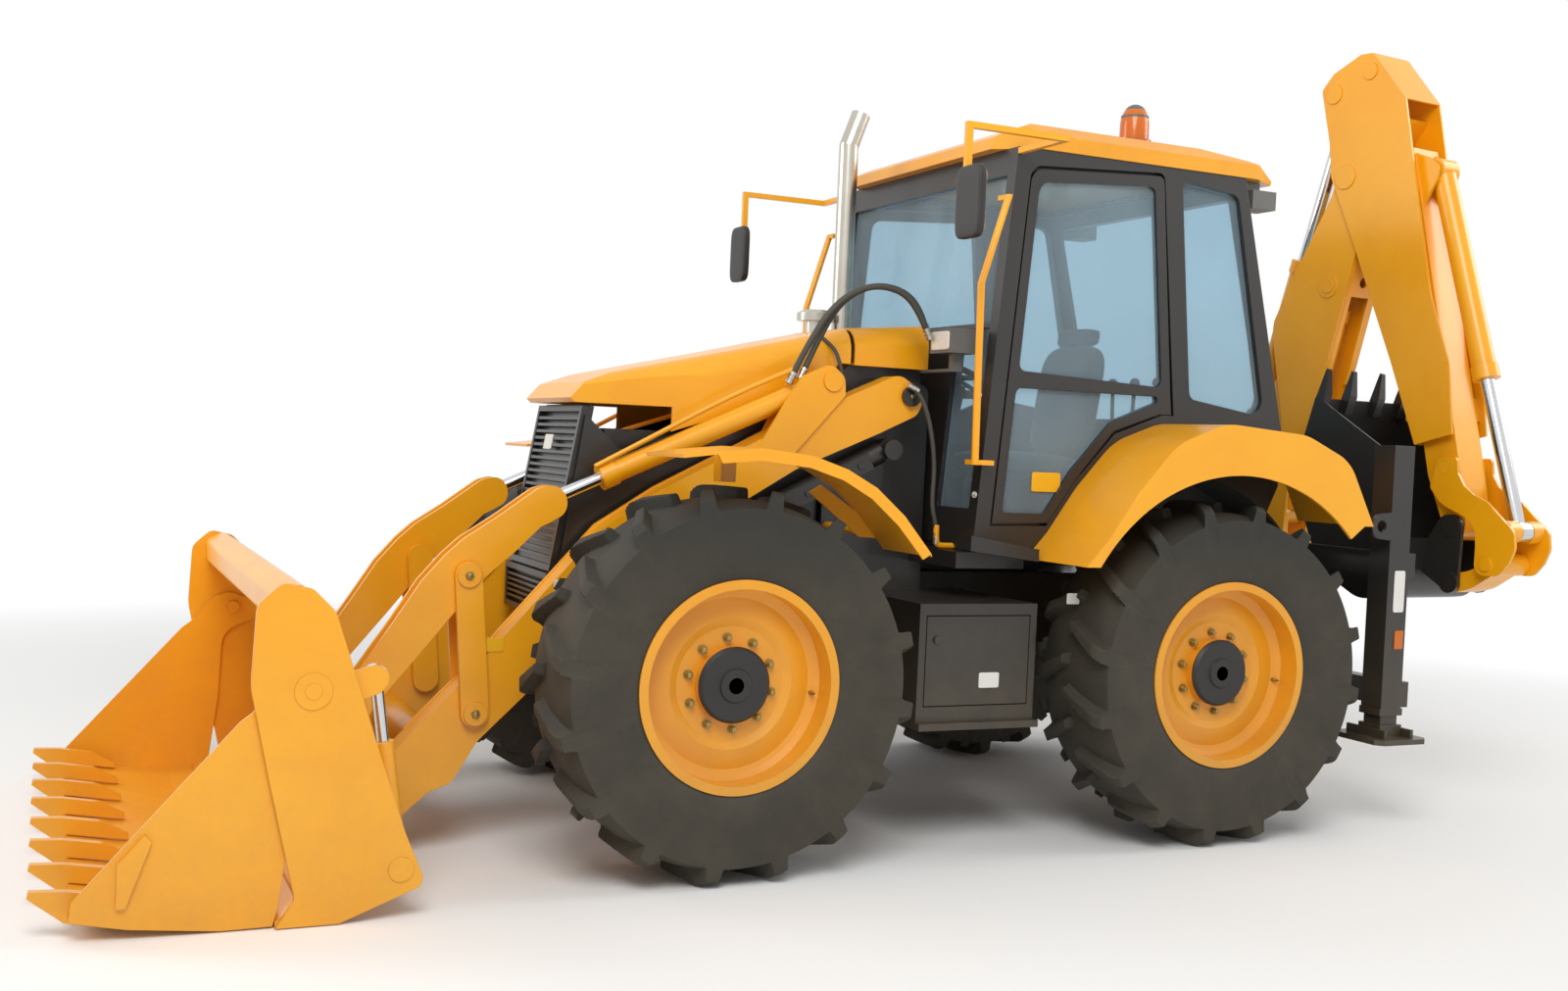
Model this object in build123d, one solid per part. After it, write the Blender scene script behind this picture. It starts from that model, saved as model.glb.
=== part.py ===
"""Backhoe loader with four equal steered wheels and a side-shift backhoe.

Millimetres.  While it is modelled X points forward, Y to the machine's left and Z up,
with the datum half way between the axles; heights are measured from the chassis datum.
At the end every piece is moved so that the origin is the bottom centre of the whole
machine's box.  The backhoe is modelled straight back in its own plane and is then
turned about its slew axis to the folded travel position across the rear frame.
"""
import os
from math import atan2, cos, degrees, hypot, radians, sin, tan

from build123d import *

os.makedirs("parts", exist_ok=True)

# ---------------------------------------------------------------- driving dimensions
WHEELBASE = 2170
AXLE_Z = 668               # axle centres above the chassis datum
TYRE_R = 700               # to the tips of the lugs
TYRE_W = 430
TYRE_Y = 950               # middle of the tyre from the centreline
RIM_FLANGE_R = 381
RIM_SEAT_R = 356
RIM_W = 380
HUB_R = 135
KINGPIN_Y = 735            # steering pivots
STEEL = 12                 # common plate thickness
PIN_FIT = 0.5              # radial gap round a pin
RUN_GAP = 5                # side gap between pieces that pass each other
GLAND = 7                  # how far a ram barrel's gland stands proud
FLOOR_Z = AXLE_Z - TYRE_R

# loader, in the X-Z plane
ARM_PIVOT = (95, 1748)
LIFT_BASE = (170, 1525)
LIFT_EYE = (1130, 1045)
TILT_BASE = (460, 1790)
TILT_EYE = (1605, 1275)
LEVER_TOP = (1908, 1000)
LEVER_FOOT = (1867, 492)
LINK_FRONT = (2325, 520)
BUCKET_PIN = (2235, 185)
CROSS_TUBE = (2004, 344)
CROSS_TUBE_R = 76
ARM_IN = 365               # inner and outer faces of the loader arms
ARM_OUT = 475
PIN_R = 30

# front bucket
BUCKET_HALF = 1200         # to the outer faces of the end plates
JAW_PIVOT = (2550, 704)
CLAM_BASE = (2262, 130)
CLAM_EYE = (2345, 735)
TOOTH_TIP_X = 3330
TOOTH_COUNT = 8
TOOTH_SPAN = 2204          # between the middles of the outer teeth

# cab and bodywork
CAB_HALF = 740             # outer faces of the cab's sides
CAB_FLOOR_Z = 1150
ROOF_HALF = 745
HOOD_HALF = 340
HOOD_SEAM_X = 300          # joint between the bonnet and the fixed cowl
GRILLE_HALF = 300
FENDER_OUT = 1165
TOWER_IN = 300             # loader tower plates
TOWER_OUT = 355

# rear frame and backhoe
SLEW_X = -2428             # slew axis
CARRIAGE_Y = -349          # where the carriage is parked
SLEW_R = -200              # slew axis in the backhoe's own plane
SLEW_REST = 85             # degrees from straight back to the travel position
LEG_X = -1995
LEG_Y = 1060
LEG_W = 115
RAIL_Z = (560, 1120)       # centres of the two cross rails
BOOM_HALF = 107            # to the outer faces of the boom's side plates
CHEEK_HALF = 125           # dipper, to the outer faces of its side plates
INNER_HALF = 85
DIG_HALF = 300             # digging bucket
BOOM_FOOT = (95, 850)
BOOM_RAM_BASE = (80, 1290)
BOOM_RAM_EYE = (352, 2421)
DIPPER_PIN = (437, 2944)
DIPPER_RAM_BASE = (-150, 1780)
DIPPER_RAM_EYE = (342, 3357)
BUCKET_RAM_BASE = (893, 2936)
TIP_LEVER_PIN = (1089, 1557)
TIP_ROD_PIN = (1395, 1285)
LEVER_LINK_PIN = (1331, 1137)
DIG_PIN = (1130, 1290)
DIG_LINK_PIN = (1131, 1039)
SLIDE = (0.228, -0.974)    # direction in which the dipper extends


# ---------------------------------------------------------------- helpers
def outline(points):
    """Closed face in the X-Z plane through (x, z) corners, or (x, z, radius) rounded ones."""
    corners = [Vector(p[0], 0, p[1]) for p in points]
    turns = []
    for i, (point, here) in enumerate(zip(points, corners)):
        if len(point) == 2:
            turns.append((here, None, here))
            continue
        back = (corners[i - 1] - here).normalized()
        ahead = (corners[(i + 1) % len(corners)] - here).normalized()
        half = radians(back.get_angle(ahead)) / 2
        reach = point[2] / tan(half)
        middle = here + (back + ahead).normalized() * (point[2] / sin(half) - point[2])
        turns.append((here + back * reach, middle, here + ahead * reach))
    edges = []
    for (start, middle, end), (following, _, _) in zip(turns, turns[1:] + turns[:1]):
        if middle is not None:
            edges.append(ThreePointArc(start, middle, end))
        if (following - end).length > 0.01:
            edges.append(Line(end, following))
    return make_face(edges)


def thick(face, y0, y1):
    """Plate from a face in the X-Z plane, between two stations across the machine."""
    return Pos(0, y0, 0) * extrude(face, amount=y1 - y0, dir=(0, 1, 0))


def plate(points, y0, y1):
    return thick(outline(points), y0, y1)


def round_bar(centre, radius, y0, y1):
    """Cylinder that runs across the machine."""
    return Pos(centre[0], (y0 + y1) / 2, centre[1]) * Rot(90, 0, 0) * Cylinder(radius, y1 - y0)


def link_plate(eyes, y0, y1):
    """Plate whose outline is the tight band round (x, z, radius) eyes, taken in pairs."""
    body = None
    for (xa, za, ra), (xb, zb, rb) in zip(eyes, eyes[1:]):
        length = hypot(xb - xa, zb - za)
        turn = degrees(atan2(zb - za, xb - xa))
        side = (ra - rb) / length
        rise = (1 - side ** 2) ** 0.5
        band = [(ra * side, ra * rise), (length + rb * side, rb * rise),
                (length + rb * side, -rb * rise), (ra * side, -ra * rise)]
        piece = plate(band, y0, y1) + round_bar((0, 0), ra, y0, y1) + round_bar((length, 0), rb, y0, y1)
        piece = Pos(xa, 0, za) * Rot(0, -turn, 0) * piece
        body = piece if body is None else body + piece
    return body


def both_sides(shape):
    """The piece and its mirror image on the other side."""
    return [shape, mirror(shape, about=Plane.XZ)]


def box(x0, x1, y0, y1, z0, z1):
    return Pos((x0 + x1) / 2, (y0 + y1) / 2, (z0 + z1) / 2) * Box(x1 - x0, y1 - y0, z1 - z0)


def ram(base, eye, bore_r, rod_r, barrel_len, inside, eye_r, eye_half, rod_eye_half, y=0):
    """Hydraulic cylinder in the X-Z plane: a bored barrel with its base eye, and its rod.

    The rod reaches the given length into the bore; its far eye is a plain disc, since the
    linkage is open there.
    """
    length = hypot(eye[0] - base[0], eye[1] - base[1])
    turn = degrees(atan2(eye[1] - base[1], eye[0] - base[0]))
    place = Pos(base[0], y, base[1]) * Rot(0, -turn, 0)
    along = Rot(0, 90, 0)
    barrel = Pos((eye_r * 0.7 + barrel_len) / 2, 0, 0) * along * Cylinder(bore_r, barrel_len - eye_r * 0.7)
    barrel += round_bar((0, 0), eye_r, -eye_half, eye_half)
    barrel += Pos(barrel_len - 32, 0, 0) * along * Cylinder(bore_r + GLAND, 64)
    bored = barrel_len - eye_r - 25
    barrel -= Pos(barrel_len - bored / 2 + 1, 0, 0) * along * Cylinder(rod_r + PIN_FIT, bored + 2)
    barrel -= round_bar((0, 0), PIN_R + PIN_FIT, -eye_half - 1, eye_half + 1)
    start = barrel_len - inside
    rod = Pos((start + length) / 2, 0, 0) * along * Cylinder(rod_r, length - start)
    rod += round_bar((length, 0), eye_r, -rod_eye_half, rod_eye_half)
    return place * barrel, place * rod


parts = {}


# ---------------------------------------------------------------- wheels and axles
def revolved(profile, axis_x, axis_z):
    """Solid turned about a line across the machine from a closed (radius, y) profile."""
    face = make_face(Polyline(*[Vector(r, y, 0) for r, y in profile], close=True))
    return Pos(axis_x, 0, axis_z) * revolve(face, Axis.Y)


def carcass():
    """Flat-sided ring: the tyre's section carried round the axle in equal steps."""
    half = TYRE_W / 2
    chord = 1 / cos(radians(180 / TYRE_STEPS))
    wall = [((RIM_SEAT_R + 0.3) * chord, RIM_W / 2 - 20), ((RIM_FLANGE_R + 3) * chord, RIM_W / 2 - 12),
            (560, half - 3), (TYRE_R - LUG_DEEP, half - 40)]
    section = [(r, -y) for r, y in wall] + wall[::-1]
    rings = []
    for step in range(TYRE_STEPS):
        turn = radians(360 / TYRE_STEPS * step)
        rings.append([Vector(r * sin(turn), y, r * cos(turn)) for r, y in section])
    faces = []
    for here, there in zip(rings, rings[1:] + rings[:1]):
        for k in range(len(section)):
            n = (k + 1) % len(section)
            faces.append(make_face(Polyline(here[k], here[n], there[n], there[k], close=True)))
    return Solid(Shell(faces))


def lugged_tyre():
    """Tyre with two rows of slanted lugs that run out over the shoulders."""
    body = carcass()
    half = TYRE_W / 2
    bar = [(-6, -24), (half, 80), (half, 134), (-6, 28)]
    crop = plate([(500, -1), (500, half), (560, half), (TYRE_R - 20, half - 4), (LUG_TOP, half - 34), (LUG_TOP, -9),
                  (500, -9)], -200, 200)
    crop = Rot(0, 0, 90) * Rot(0, -90, 0) * crop
    for row in (-1, 1):
        shape = [Vector(along, row * y, TYRE_R - 160) for y, along in bar]
        lug = extrude(make_face(Polyline(*shape, close=True)), amount=165, dir=(0, 0, 1))
        lug &= crop if row > 0 else mirror(crop, about=Plane.XZ)
        for i in range(TYRE_STEPS // 2):
            body += Rot(0, 720 / TYRE_STEPS * (i + 0.25 * row), 0) * lug
    return body


LUG_DEEP = 38
TYRE_STEPS = 32
LUG_TOP = 699.86           # flat top of a lug; the lowest lies at the tyre's radius
TREAD = lugged_tyre()


def tyre(x, side):
    whole = TREAD if side > 0 else mirror(TREAD, about=Plane.XZ)
    return Pos(x, side * TYRE_Y, AXLE_Z) * whole


def rim(x, side):
    """Stepped rim with its dished disc and the planetary hub, which shows through the disc."""
    outer = RIM_W / 2
    wall = 9
    shell = [(RIM_FLANGE_R, outer), (RIM_FLANGE_R, outer - wall), (RIM_SEAT_R, outer - 14),
             (RIM_SEAT_R, 70), (325, 50), (325, -60), (RIM_SEAT_R, -80), (RIM_SEAT_R, -outer + 14),
             (RIM_FLANGE_R, -outer + wall), (RIM_FLANGE_R, -outer), (RIM_SEAT_R - wall, -outer),
             (RIM_SEAT_R - wall, -84), (325 - wall, -62), (325 - wall, 30), (300, 62), (235, 72),
             (205, 60), (110, 60), (110, 76), (205, 76), (235, 90), (308, 78), (325, 84),
             (RIM_SEAT_R - wall, 96), (RIM_SEAT_R - wall, outer)]
    body = revolved([(r, side * (TYRE_Y + y)) for r, y in shell], x, AXLE_Z)
    hub = [(0, -60), (150, -60), (150, 60), (110, 60), (110, 76), (HUB_R, 76), (HUB_R, 118),
           (HUB_R - 12, 130), (60, 130), (55, 138), (0, 138)]
    return [body, revolved([(r, side * (TYRE_Y + y)) for r, y in hub], x, AXLE_Z)]


def knuckle(x, side):
    """Fork on the kingpin, with the bearing spindle that reaches into the hub."""
    def span(a, b):
        return sorted((side * a, side * b))
    fork_in, fork_out, hub_face = KINGPIN_Y + 64, KINGPIN_Y + 88, TYRE_Y - 61
    body = round_bar((x, AXLE_Z), 95, *span(fork_out, hub_face))
    body += box(x - 70, x + 70, *span(fork_in, fork_out), AXLE_Z - 150, AXLE_Z + 150)
    for end in (-1, 1):
        body += Pos(x, side * KINGPIN_Y, AXLE_Z + end * 136) * Cylinder(52, 28)
        body += box(x - 45, x + 45, *span(KINGPIN_Y, fork_in + 1), AXLE_Z + end * 136 - 14,
                    AXLE_Z + end * 136 + 14)
    return body


def axle(x):
    """Axle beam with its differential, and the eyes that hold the kingpins."""
    beam = round_bar((x, AXLE_Z), 78, -KINGPIN_Y + 50, KINGPIN_Y - 50)
    beam += Pos(x, 0, AXLE_Z) * Sphere(165)
    for side in (-1, 1):
        beam += Pos(x, side * KINGPIN_Y, AXLE_Z) * Cylinder(50, 2 * (120 - RUN_GAP / 5))
        beam += box(x - 62, x + 62, min(side * 560, side * KINGPIN_Y), max(side * 560, side * KINGPIN_Y),
                    AXLE_Z - 90, AXLE_Z + 90)
    return beam


AXLE_X = {"front": WHEELBASE / 2, "rear": -WHEELBASE / 2}
parts["axles"] = [axle(x) for x in AXLE_X.values()]
for end, axle_x in AXLE_X.items():
    for hand, side in (("left", 1), ("right", -1)):
        parts[f"tyre_{end}_{hand}"] = tyre(axle_x, side)
        parts[f"rim_{end}_{hand}"] = rim(axle_x, side)
        parts[f"knuckle_{end}_{hand}"] = knuckle(axle_x, side)


# ---------------------------------------------------------------- chassis
def chassis():
    """Two deep rails on the axles, cross members, and the loader towers."""
    rail = plate([(1440, 780), (1440, 960), (1000, 1010), (-1900, 1010), (-1900, 760), (-1320, 760),
                  (-1240, 850), (-920, 850), (-840, 700), (820, 700), (900, 850), (1260, 850)], 260, 300)
    body = rail + mirror(rail, about=Plane.XZ)
    for x0, x1, z0, z1 in ((1340, 1440, 800, 950), (900, 1260, 848, 900), (300, 420, 720, 1000),
                           (-500, -380, 720, 1000), (-1260, -900, 850, 1000), (-1900, -1860, 760, 1010)):
        body += box(x0, x1, -262, 262, z0, z1)
    for x in (WHEELBASE / 2, -WHEELBASE / 2):
        body += box(x - 110, x + 110, -262, 262, AXLE_Z + 60, 900)
    tower = [(-60, 760), (-60, 1790, 40), (60, 1835, 60), (250, 1800, 60), (420, 1500), (420, 760)]
    for side in (-1, 1):
        lo, hi = sorted((side * TOWER_IN, side * TOWER_OUT))
        body += plate(tower, lo, hi)
        lo, hi = sorted((side * (TOWER_IN + 1), side * (ARM_OUT + 18)))
        for centre in (ARM_PIVOT, LIFT_BASE):
            body += round_bar(centre, PIN_R, lo, hi)
            lo2, hi2 = sorted((side * (ARM_OUT + 4), side * (ARM_OUT + 20)))
            body += round_bar(centre, PIN_R + 12, lo2, hi2)
    body -= [Pos(x, 0, AXLE_Z) * Sphere(166) for x in (WHEELBASE / 2, -WHEELBASE / 2)]
    body -= [round_bar((x, AXLE_Z), 78.5, -300, 300) for x in (WHEELBASE / 2, -WHEELBASE / 2)]
    return body


parts["chassis_frame"] = chassis()
parts["engine_block"] = (box(560, 1330, -240, 240, 902, 1560) + box(-380, 560, -200, 200, 1011, 1128)
                         + box(300, 560, -200, 200, 1011, 1300))


# ---------------------------------------------------------------- hood, grille and panels
def hood_solid(inset, x_low, x_high):
    """The bonnet's outer form, or its inside when inset is the sheet's thickness."""
    z_low = 2022 - inset + (HOOD_SEAM_X + 4 - x_low) * 116 / 476
    side_view = outline([(x_low, 1872), (x_low, z_low), (780, 1906 - inset),
                         (1310, 1785 - inset), (1440 - inset, 1735 - inset), (1495 - inset, 1672),
                         (1296 - inset, 1488), (430, 1775), (362, 1872)])
    half = HOOD_HALF - inset
    plan = [(x_low - 10, half), (950, half), (x_high, GRILLE_HALF + 8 - inset)]
    plan += [(x, -y) for x, y in reversed(plan)]
    crown = Box(3200, 2 * half, 900)
    crown = fillet(crown.edges().filter_by(Axis.X).group_by(Axis.Z)[-1], SHOULDER_R - inset)
    crown = Pos(181, 0, 2052 - inset) * Rot(0, HOOD_SLOPE, 0) * Pos(0, 0, -450) * crown
    prism = extrude(make_face(Polyline(*[Vector(x, y, 0) for x, y in plan], close=True)), amount=2600)
    return thick(side_view, -half, half) & crown & prism


HOOD_SLOPE = 13.36
SHOULDER_R = 95
HINGE = (HOOD_SEAM_X + 12, 2004)
HINGE_Y = (180, 192, 204)  # cowl bracket, then the bonnet's ear beside it


def bonnet():
    sheet = 8
    body = hood_solid(0, HOOD_SEAM_X + 8, 1500) - hood_solid(sheet, HOOD_SEAM_X - 50, 1500)
    body -= box(HOOD_SEAM_X - 60, 1600, -HOOD_HALF + sheet, HOOD_HALF - sheet, 1400, 1655)
    for side in (-1, 1):
        lo, hi = sorted((side * (HINGE_Y[0] - 1), side * (HINGE_Y[1] + 0.5)))
        body -= box(HOOD_SEAM_X, HINGE[0] + 8, lo, hi, 1990, 2030)
        lo, hi = sorted((side * (HINGE_Y[1] + 0.5), side * HINGE_Y[2]))
        body += round_bar(HINGE, 9, lo, hi) + box(HINGE[0] - 2, HINGE[0] + 12, lo, hi, 2004, 2014)
        body -= round_bar(HINGE, 4 + PIN_FIT, lo - 2, hi + 2)
    return body


parts["bonnet"] = bonnet()


def cowl():
    """Fixed panel between the bonnet and the cab, black below and open underneath."""
    side_view = [(-60, 1868), (-60, 2058), (HOOD_SEAM_X - 10, 2026), (HOOD_SEAM_X - 10, 1868)]
    body = plate(side_view, -HOOD_HALF, HOOD_HALF)
    edges = [e for e in body.edges() if abs(abs(e.center().Y) - HOOD_HALF) < 1 and e.center().Z > 2030]
    body = fillet(edges, SHOULDER_R)
    inner = plate([(-70, 1860), (-70, 2048), (HOOD_SEAM_X + 9, 2015), (HOOD_SEAM_X + 9, 1860)],
                  -HOOD_HALF + 9, HOOD_HALF - 9)
    edges = [e for e in inner.edges() if abs(abs(e.center().Y) - HOOD_HALF + 9) < 1 and e.center().Z > 2020]
    body -= fillet(edges, SHOULDER_R - 9)
    for side in (-1, 1):
        lo, hi = sorted((side * (TOWER_IN - STEEL - 1), side * (HOOD_HALF - 8)))
        body += box(-60, HOOD_SEAM_X - 10, lo, hi, 1868, 1878)
        lo, hi = sorted((side * HINGE_Y[0], side * HINGE_Y[1]))
        body += box(HOOD_SEAM_X - 40, HOOD_SEAM_X - 14, lo, hi, 1996, 2024)
        body += box(HOOD_SEAM_X - 30, HINGE[0], lo, hi, 1997, 2009) + round_bar(HINGE, 6, lo, hi)
        lo, hi = sorted((side * HINGE_Y[0], side * (HINGE_Y[2] + 1)))
        body += round_bar(HINGE, 4, lo, hi)
    for centre, radius in ((EXHAUST, EXHAUST_R), (CLEANER, CLEANER_STEM_R)):
        body -= Pos(*centre, 2000) * Cylinder(radius + 0.3, 300)
    return body


EXHAUST = (60, -260)
EXHAUST_R = 44
CLEANER = (198, -244)
CLEANER_STEM_R = 45
parts["cowl"] = cowl()


def side_panels():
    """Black engine covers under the bonnet and beside the radiator."""
    panel = [(-50, 1015), (-50, 1860), (HOOD_SEAM_X + 60, 1860), (425, 1755), (1290, 1478),
             (1432, 1610), (1520, 1000), (1440, 1015)]
    out = HOOD_HALF - 20
    body = plate(panel, out - STEEL, out)
    body -= box(-60, 430, 0, out + 20, 700, 1900)
    body += plate([(-50, 1015), (-50, 1867.7), (296, 1867.7), (430, 1750), (430, 1015)], TOWER_IN - STEEL - 1,
                  TOWER_IN - 1)
    body += box(425, 437, TOWER_IN - STEEL - 1, out, 1015, 1740)
    return both_sides(body)




def grille():
    """Leaning radiator grille: a frame with round-edged slats, and a lower one beneath."""
    lean = degrees(atan2(1552 - 1442, 1645 - 1000))
    height = hypot(1552 - 1442, 1645 - 1000)
    frame = box(-30, 0, -GRILLE_HALF, GRILLE_HALF, 0, height)
    frame -= box(-40, 10, -GRILLE_HALF + 24, GRILLE_HALF - 24, 24, height - 24)
    slat_pitch = (height - 48) / SLATS
    for i in range(1, SLATS):
        frame += box(-26, -2, -GRILLE_HALF + 20, GRILLE_HALF - 20, 24 + i * slat_pitch - 6,
                     24 + i * slat_pitch + 6)
    upper = Pos(1552, 0, 1000) * Rot(0, -lean, 0) * frame
    lower = box(1530, 1560, -GRILLE_HALF, GRILLE_HALF, 810, 992)
    lower -= box(1520, 1570, -GRILLE_HALF + 24, GRILLE_HALF - 24, 834, 968)
    for i in range(1, 6):
        lower += box(1533, 1557, -GRILLE_HALF + 20, GRILLE_HALF - 20, 834 + i * 22.3 - 5, 834 + i * 22.3 + 5)
    backing = plate([(1500, 800), (1500, 995), (1395, 1640), (1410, 1650), (1531, 1000), (1531, 800)],
                    -GRILLE_HALF, GRILLE_HALF)
    return upper + lower + backing + box(1440, 1500, -262, 262, 800, 960)


SLATS = 22
parts["engine_covers"] = [grille(), *side_panels()]

stack = Pos(*EXHAUST, 2440) * Cylinder(EXHAUST_R, 900)
stack += Pos(*EXHAUST, 2890) * Sphere(EXHAUST_R)
stack += Pos(EXHAUST[0] - 28, EXHAUST[1], 2965) * Rot(0, -20, 0) * Cylinder(EXHAUST_R, 150)
stack -= Pos(EXHAUST[0] - 50, EXHAUST[1], 3020) * Rot(0, -20, 0) * Cylinder(EXHAUST_R - 6, 90)
cleaner = Pos(*CLEANER, 2038) * Cylinder(CLEANER_STEM_R, 100) + Pos(*CLEANER, 2104) * Cylinder(84, 34)
cleaner += Pos(*CLEANER, 2128) * Cone(84, 58, 14)
parts["exhaust_and_cleaner"] = [stack, cleaner]


# ---------------------------------------------------------------- front fenders, boxes, steps
def front_fender():
    """Thin curved guard with a folded outer lip, on its flat front bracket."""
    outer = [(1352, 1478), (1230, 1494), (1060, 1512), (860, 1492), (720, 1448), (600, 1386), (480, 1286),
             (362, 1150)]
    inner = [(x - 3, z - 12) for x, z in reversed(outer)]
    sheet = plate(outer + inner, FENDER_IN, FENDER_OUT)
    lip = [(x, z) for x, z in outer[1:]] + [(395, 1128), (505, 1250), (618, 1345), (735, 1408), (868, 1448),
                                            (1060, 1466), (1205, 1452)]
    sheet += plate(lip, FENDER_OUT - 10, FENDER_OUT)
    sheet += plate([(1060, 1500), (1000, 1496), (1000, 1380), (1060, 1380)], FENDER_IN - 60, FENDER_IN + 12)
    return sheet


FENDER_IN = 790
guard = front_fender() + plate([(372, 1180), (372, 1222), (420, 1240), (640, 1380), (690, 1350), (470, 1185)],
                               FENDER_IN - 8, FENDER_IN)
guard += round_bar((395, 1201), 18, TOWER_OUT + 0.3, FENDER_IN - 7)

BOX_X = (-272, 262)        # the boxes between the wheels, clear of the steered tyres
BOX_OUT = 930


def side_box():
    """Locker with its shelf above and the boarding step below, open where the door closes it."""
    x0, x1 = BOX_X
    body = box(x0, x1, 420, BOX_OUT, 480, 940)
    body -= box(x0 + 30, x1 - 30, 440, BOX_OUT + 1, 540, 895)
    body += box(x0 - 10, x1, 420, BOX_OUT + 28, 452, 480)
    body += box(x0, -62, 300, 421, 780, 940) + box(-62, x1, TOWER_OUT, 421, 780, 940)
    return body


door_panel = box(BOX_X[0] + 34, BOX_X[1] - 34, BOX_OUT - 22, BOX_OUT, 544, 891)
door_panel += Pos(BOX_X[1] - 80, BOX_OUT + 4, 800) * Rot(90, 0, 0) * Cylinder(16, 12)
parts["locker_door"] = door_panel
step = plate([(0, 1140), (0, 1200), (-322, 1150), (-322, 1100)], CAB_HALF, CAB_HALF + 110)
step += plate([(0, 1062), (0, 1128), (-322, 1128), (-322, 1062)], TOWER_OUT + 0.3, CAB_HALF + 1)
closed_box = mirror(side_box() + box(BOX_X[0] + 20, BOX_X[1] - 20, 430, BOX_OUT, 530, 905), about=Plane.XZ)
parts["side_boxes"] = [side_box(), closed_box, *both_sides(step)]


# ---------------------------------------------------------------- cab
ARCH_R = 815               # wheel arch, inside the rear fender
A_FOOT, A_TOP = (-75, 1150), (-204, 2769.7)
C_TOP, C_FOOT = (-1370, 2769.7), (-1640, 1690)
WALL = 50


def post_x(z):
    """Front face of the cab at a height."""
    return A_FOOT[0] + (A_TOP[0] - A_FOOT[0]) * (z - A_FOOT[1]) / (A_TOP[1] - A_FOOT[1])


DOOR_EDGE = [(post_x(1235) - 70, 1235), (post_x(2700) - 70, 2700, 60), (-935, 2742, 30), (-1035, 1820),
             (-1046, 1722), (-985, 1722), (-745, 1632), (-560, 1432), (-425, 1240)]
QUARTER_EDGE = [(-1030, 2720, 30), (-1125, 1800, 40), (-1540, 1740, 60), (-1335, 2690, 50)]


def grown(points, step):
    """The same corners pushed away from their middle by about the given step."""
    cx = sum(p[0] for p in points) / len(points)
    cz = sum(p[1] for p in points) / len(points)
    moved = []
    for p in points:
        length = hypot(p[0] - cx, p[1] - cz)
        moved.append((cx + (p[0] - cx) * (1 + step / length), cz + (p[1] - cz) * (1 + step / length)) + p[2:])
    return moved


def cab_frame():
    """Safety frame: side frames with the door and quarter openings, screen frames and the tub."""
    arch = round_bar((-WHEELBASE / 2, AXLE_Z), ARCH_R, 470, 800)
    side_view = [A_FOOT, A_TOP, C_TOP, C_FOOT, (-1640, 1440), (-1500, 1150)]
    side = plate(side_view, CAB_HALF - WALL, CAB_HALF)
    side -= plate(grown(DOOR_EDGE, -14), 0, CAB_HALF + 1)
    side -= plate(DOOR_EDGE, CAB_HALF - DOOR_THICK - 2, CAB_HALF + 1)
    side -= plate(QUARTER_EDGE, 0, CAB_HALF + 1)
    side -= arch
    body = side + mirror(side, about=Plane.XZ)
    half = CAB_HALF - WALL + 1
    screen = plate([A_FOOT, A_TOP, (A_TOP[0] - WALL, A_TOP[1]), (A_FOOT[0] - WALL, A_FOOT[1])], -half, half)
    screen -= box(-500, 100, -half + 15, half - 15, 2060, 2660)
    screen -= box(-500, 100, -half + 15, -420, 1300, 2040)
    screen -= box(-500, 100, 420, half - 15, 1300, 2040)
    rear = plate([C_TOP, C_FOOT, (C_FOOT[0] + WALL, C_FOOT[1]), (C_TOP[0] + WALL, C_TOP[1])], -half, half)
    rear -= box(-1800, -1100, -half + 30, half - 30, 1730, 2680)
    roof_frame = box(C_TOP[0] + 10, A_TOP[0] - 10, -half, half, 2740, A_TOP[1])
    roof_frame -= box(C_TOP[0] + 90, A_TOP[0] - 90, -half + 60, half - 60, 2700, 2800)
    body += screen + rear + roof_frame
    tub = plate([(-80, 1130), (-80, 1180), (-1000, 1180), (-1000, 1500), (-1620, 1500), (-1632, 1697),
                 (-1660, 1697), (-1660, 1130)], -470, 470)
    body += tub
    floor_wing = box(-420, -80, -half, half, 1130, 1160)
    shelf = plate([(-999, 1490), (-999, 1515), (-1620, 1515), (-1620, 1490)], -half, half)
    lining = round_bar((-WHEELBASE / 2, AXLE_Z), ARCH_R + 10, 470, CAB_HALF)
    lining -= round_bar((-WHEELBASE / 2, AXLE_Z), ARCH_R, 460, CAB_HALF + 10)
    lining &= box(-1900, -300, 400, 800, 1130, 1515)
    inner_wall = plate([(-300, 1130), (-1660, 1130), (-1660, 1500), (-300, 1500)], 458, 470)
    inner_wall &= round_bar((-WHEELBASE / 2, AXLE_Z), ARCH_R + 5, 400, 500)
    for piece in (lining, inner_wall):
        body += piece + mirror(piece, about=Plane.XZ)
    return body + floor_wing + shelf


DOOR_THICK = 34
parts["cab_frame"] = cab_frame()


def door(side):
    """Full-length door: a frame round two panes, hung on the front post."""
    gap = grown(DOOR_EDGE, -14)
    leaf = plate(gap, CAB_HALF - DOOR_THICK, CAB_HALF)
    leaf -= plate(UPPER_PANE, 0, CAB_HALF + 1)
    leaf -= plate(LOWER_PANE, 0, CAB_HALF + 1)
    return leaf if side > 0 else mirror(leaf, about=Plane.XZ)


UPPER_PANE = [(post_x(1900) - 120, 1870, 30), (post_x(2640) - 120, 2640, 60), (-890, 2680, 30), (-975, 1840, 30)]
LOWER_PANE = [(post_x(1290) - 120, 1290, 20), (post_x(1800) - 120, 1800, 30), (-955, 1800, 8), (-955, 1775, 8),
              (-720, 1680, 60), (-530, 1470, 60), (-410, 1290, 20)]


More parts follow.
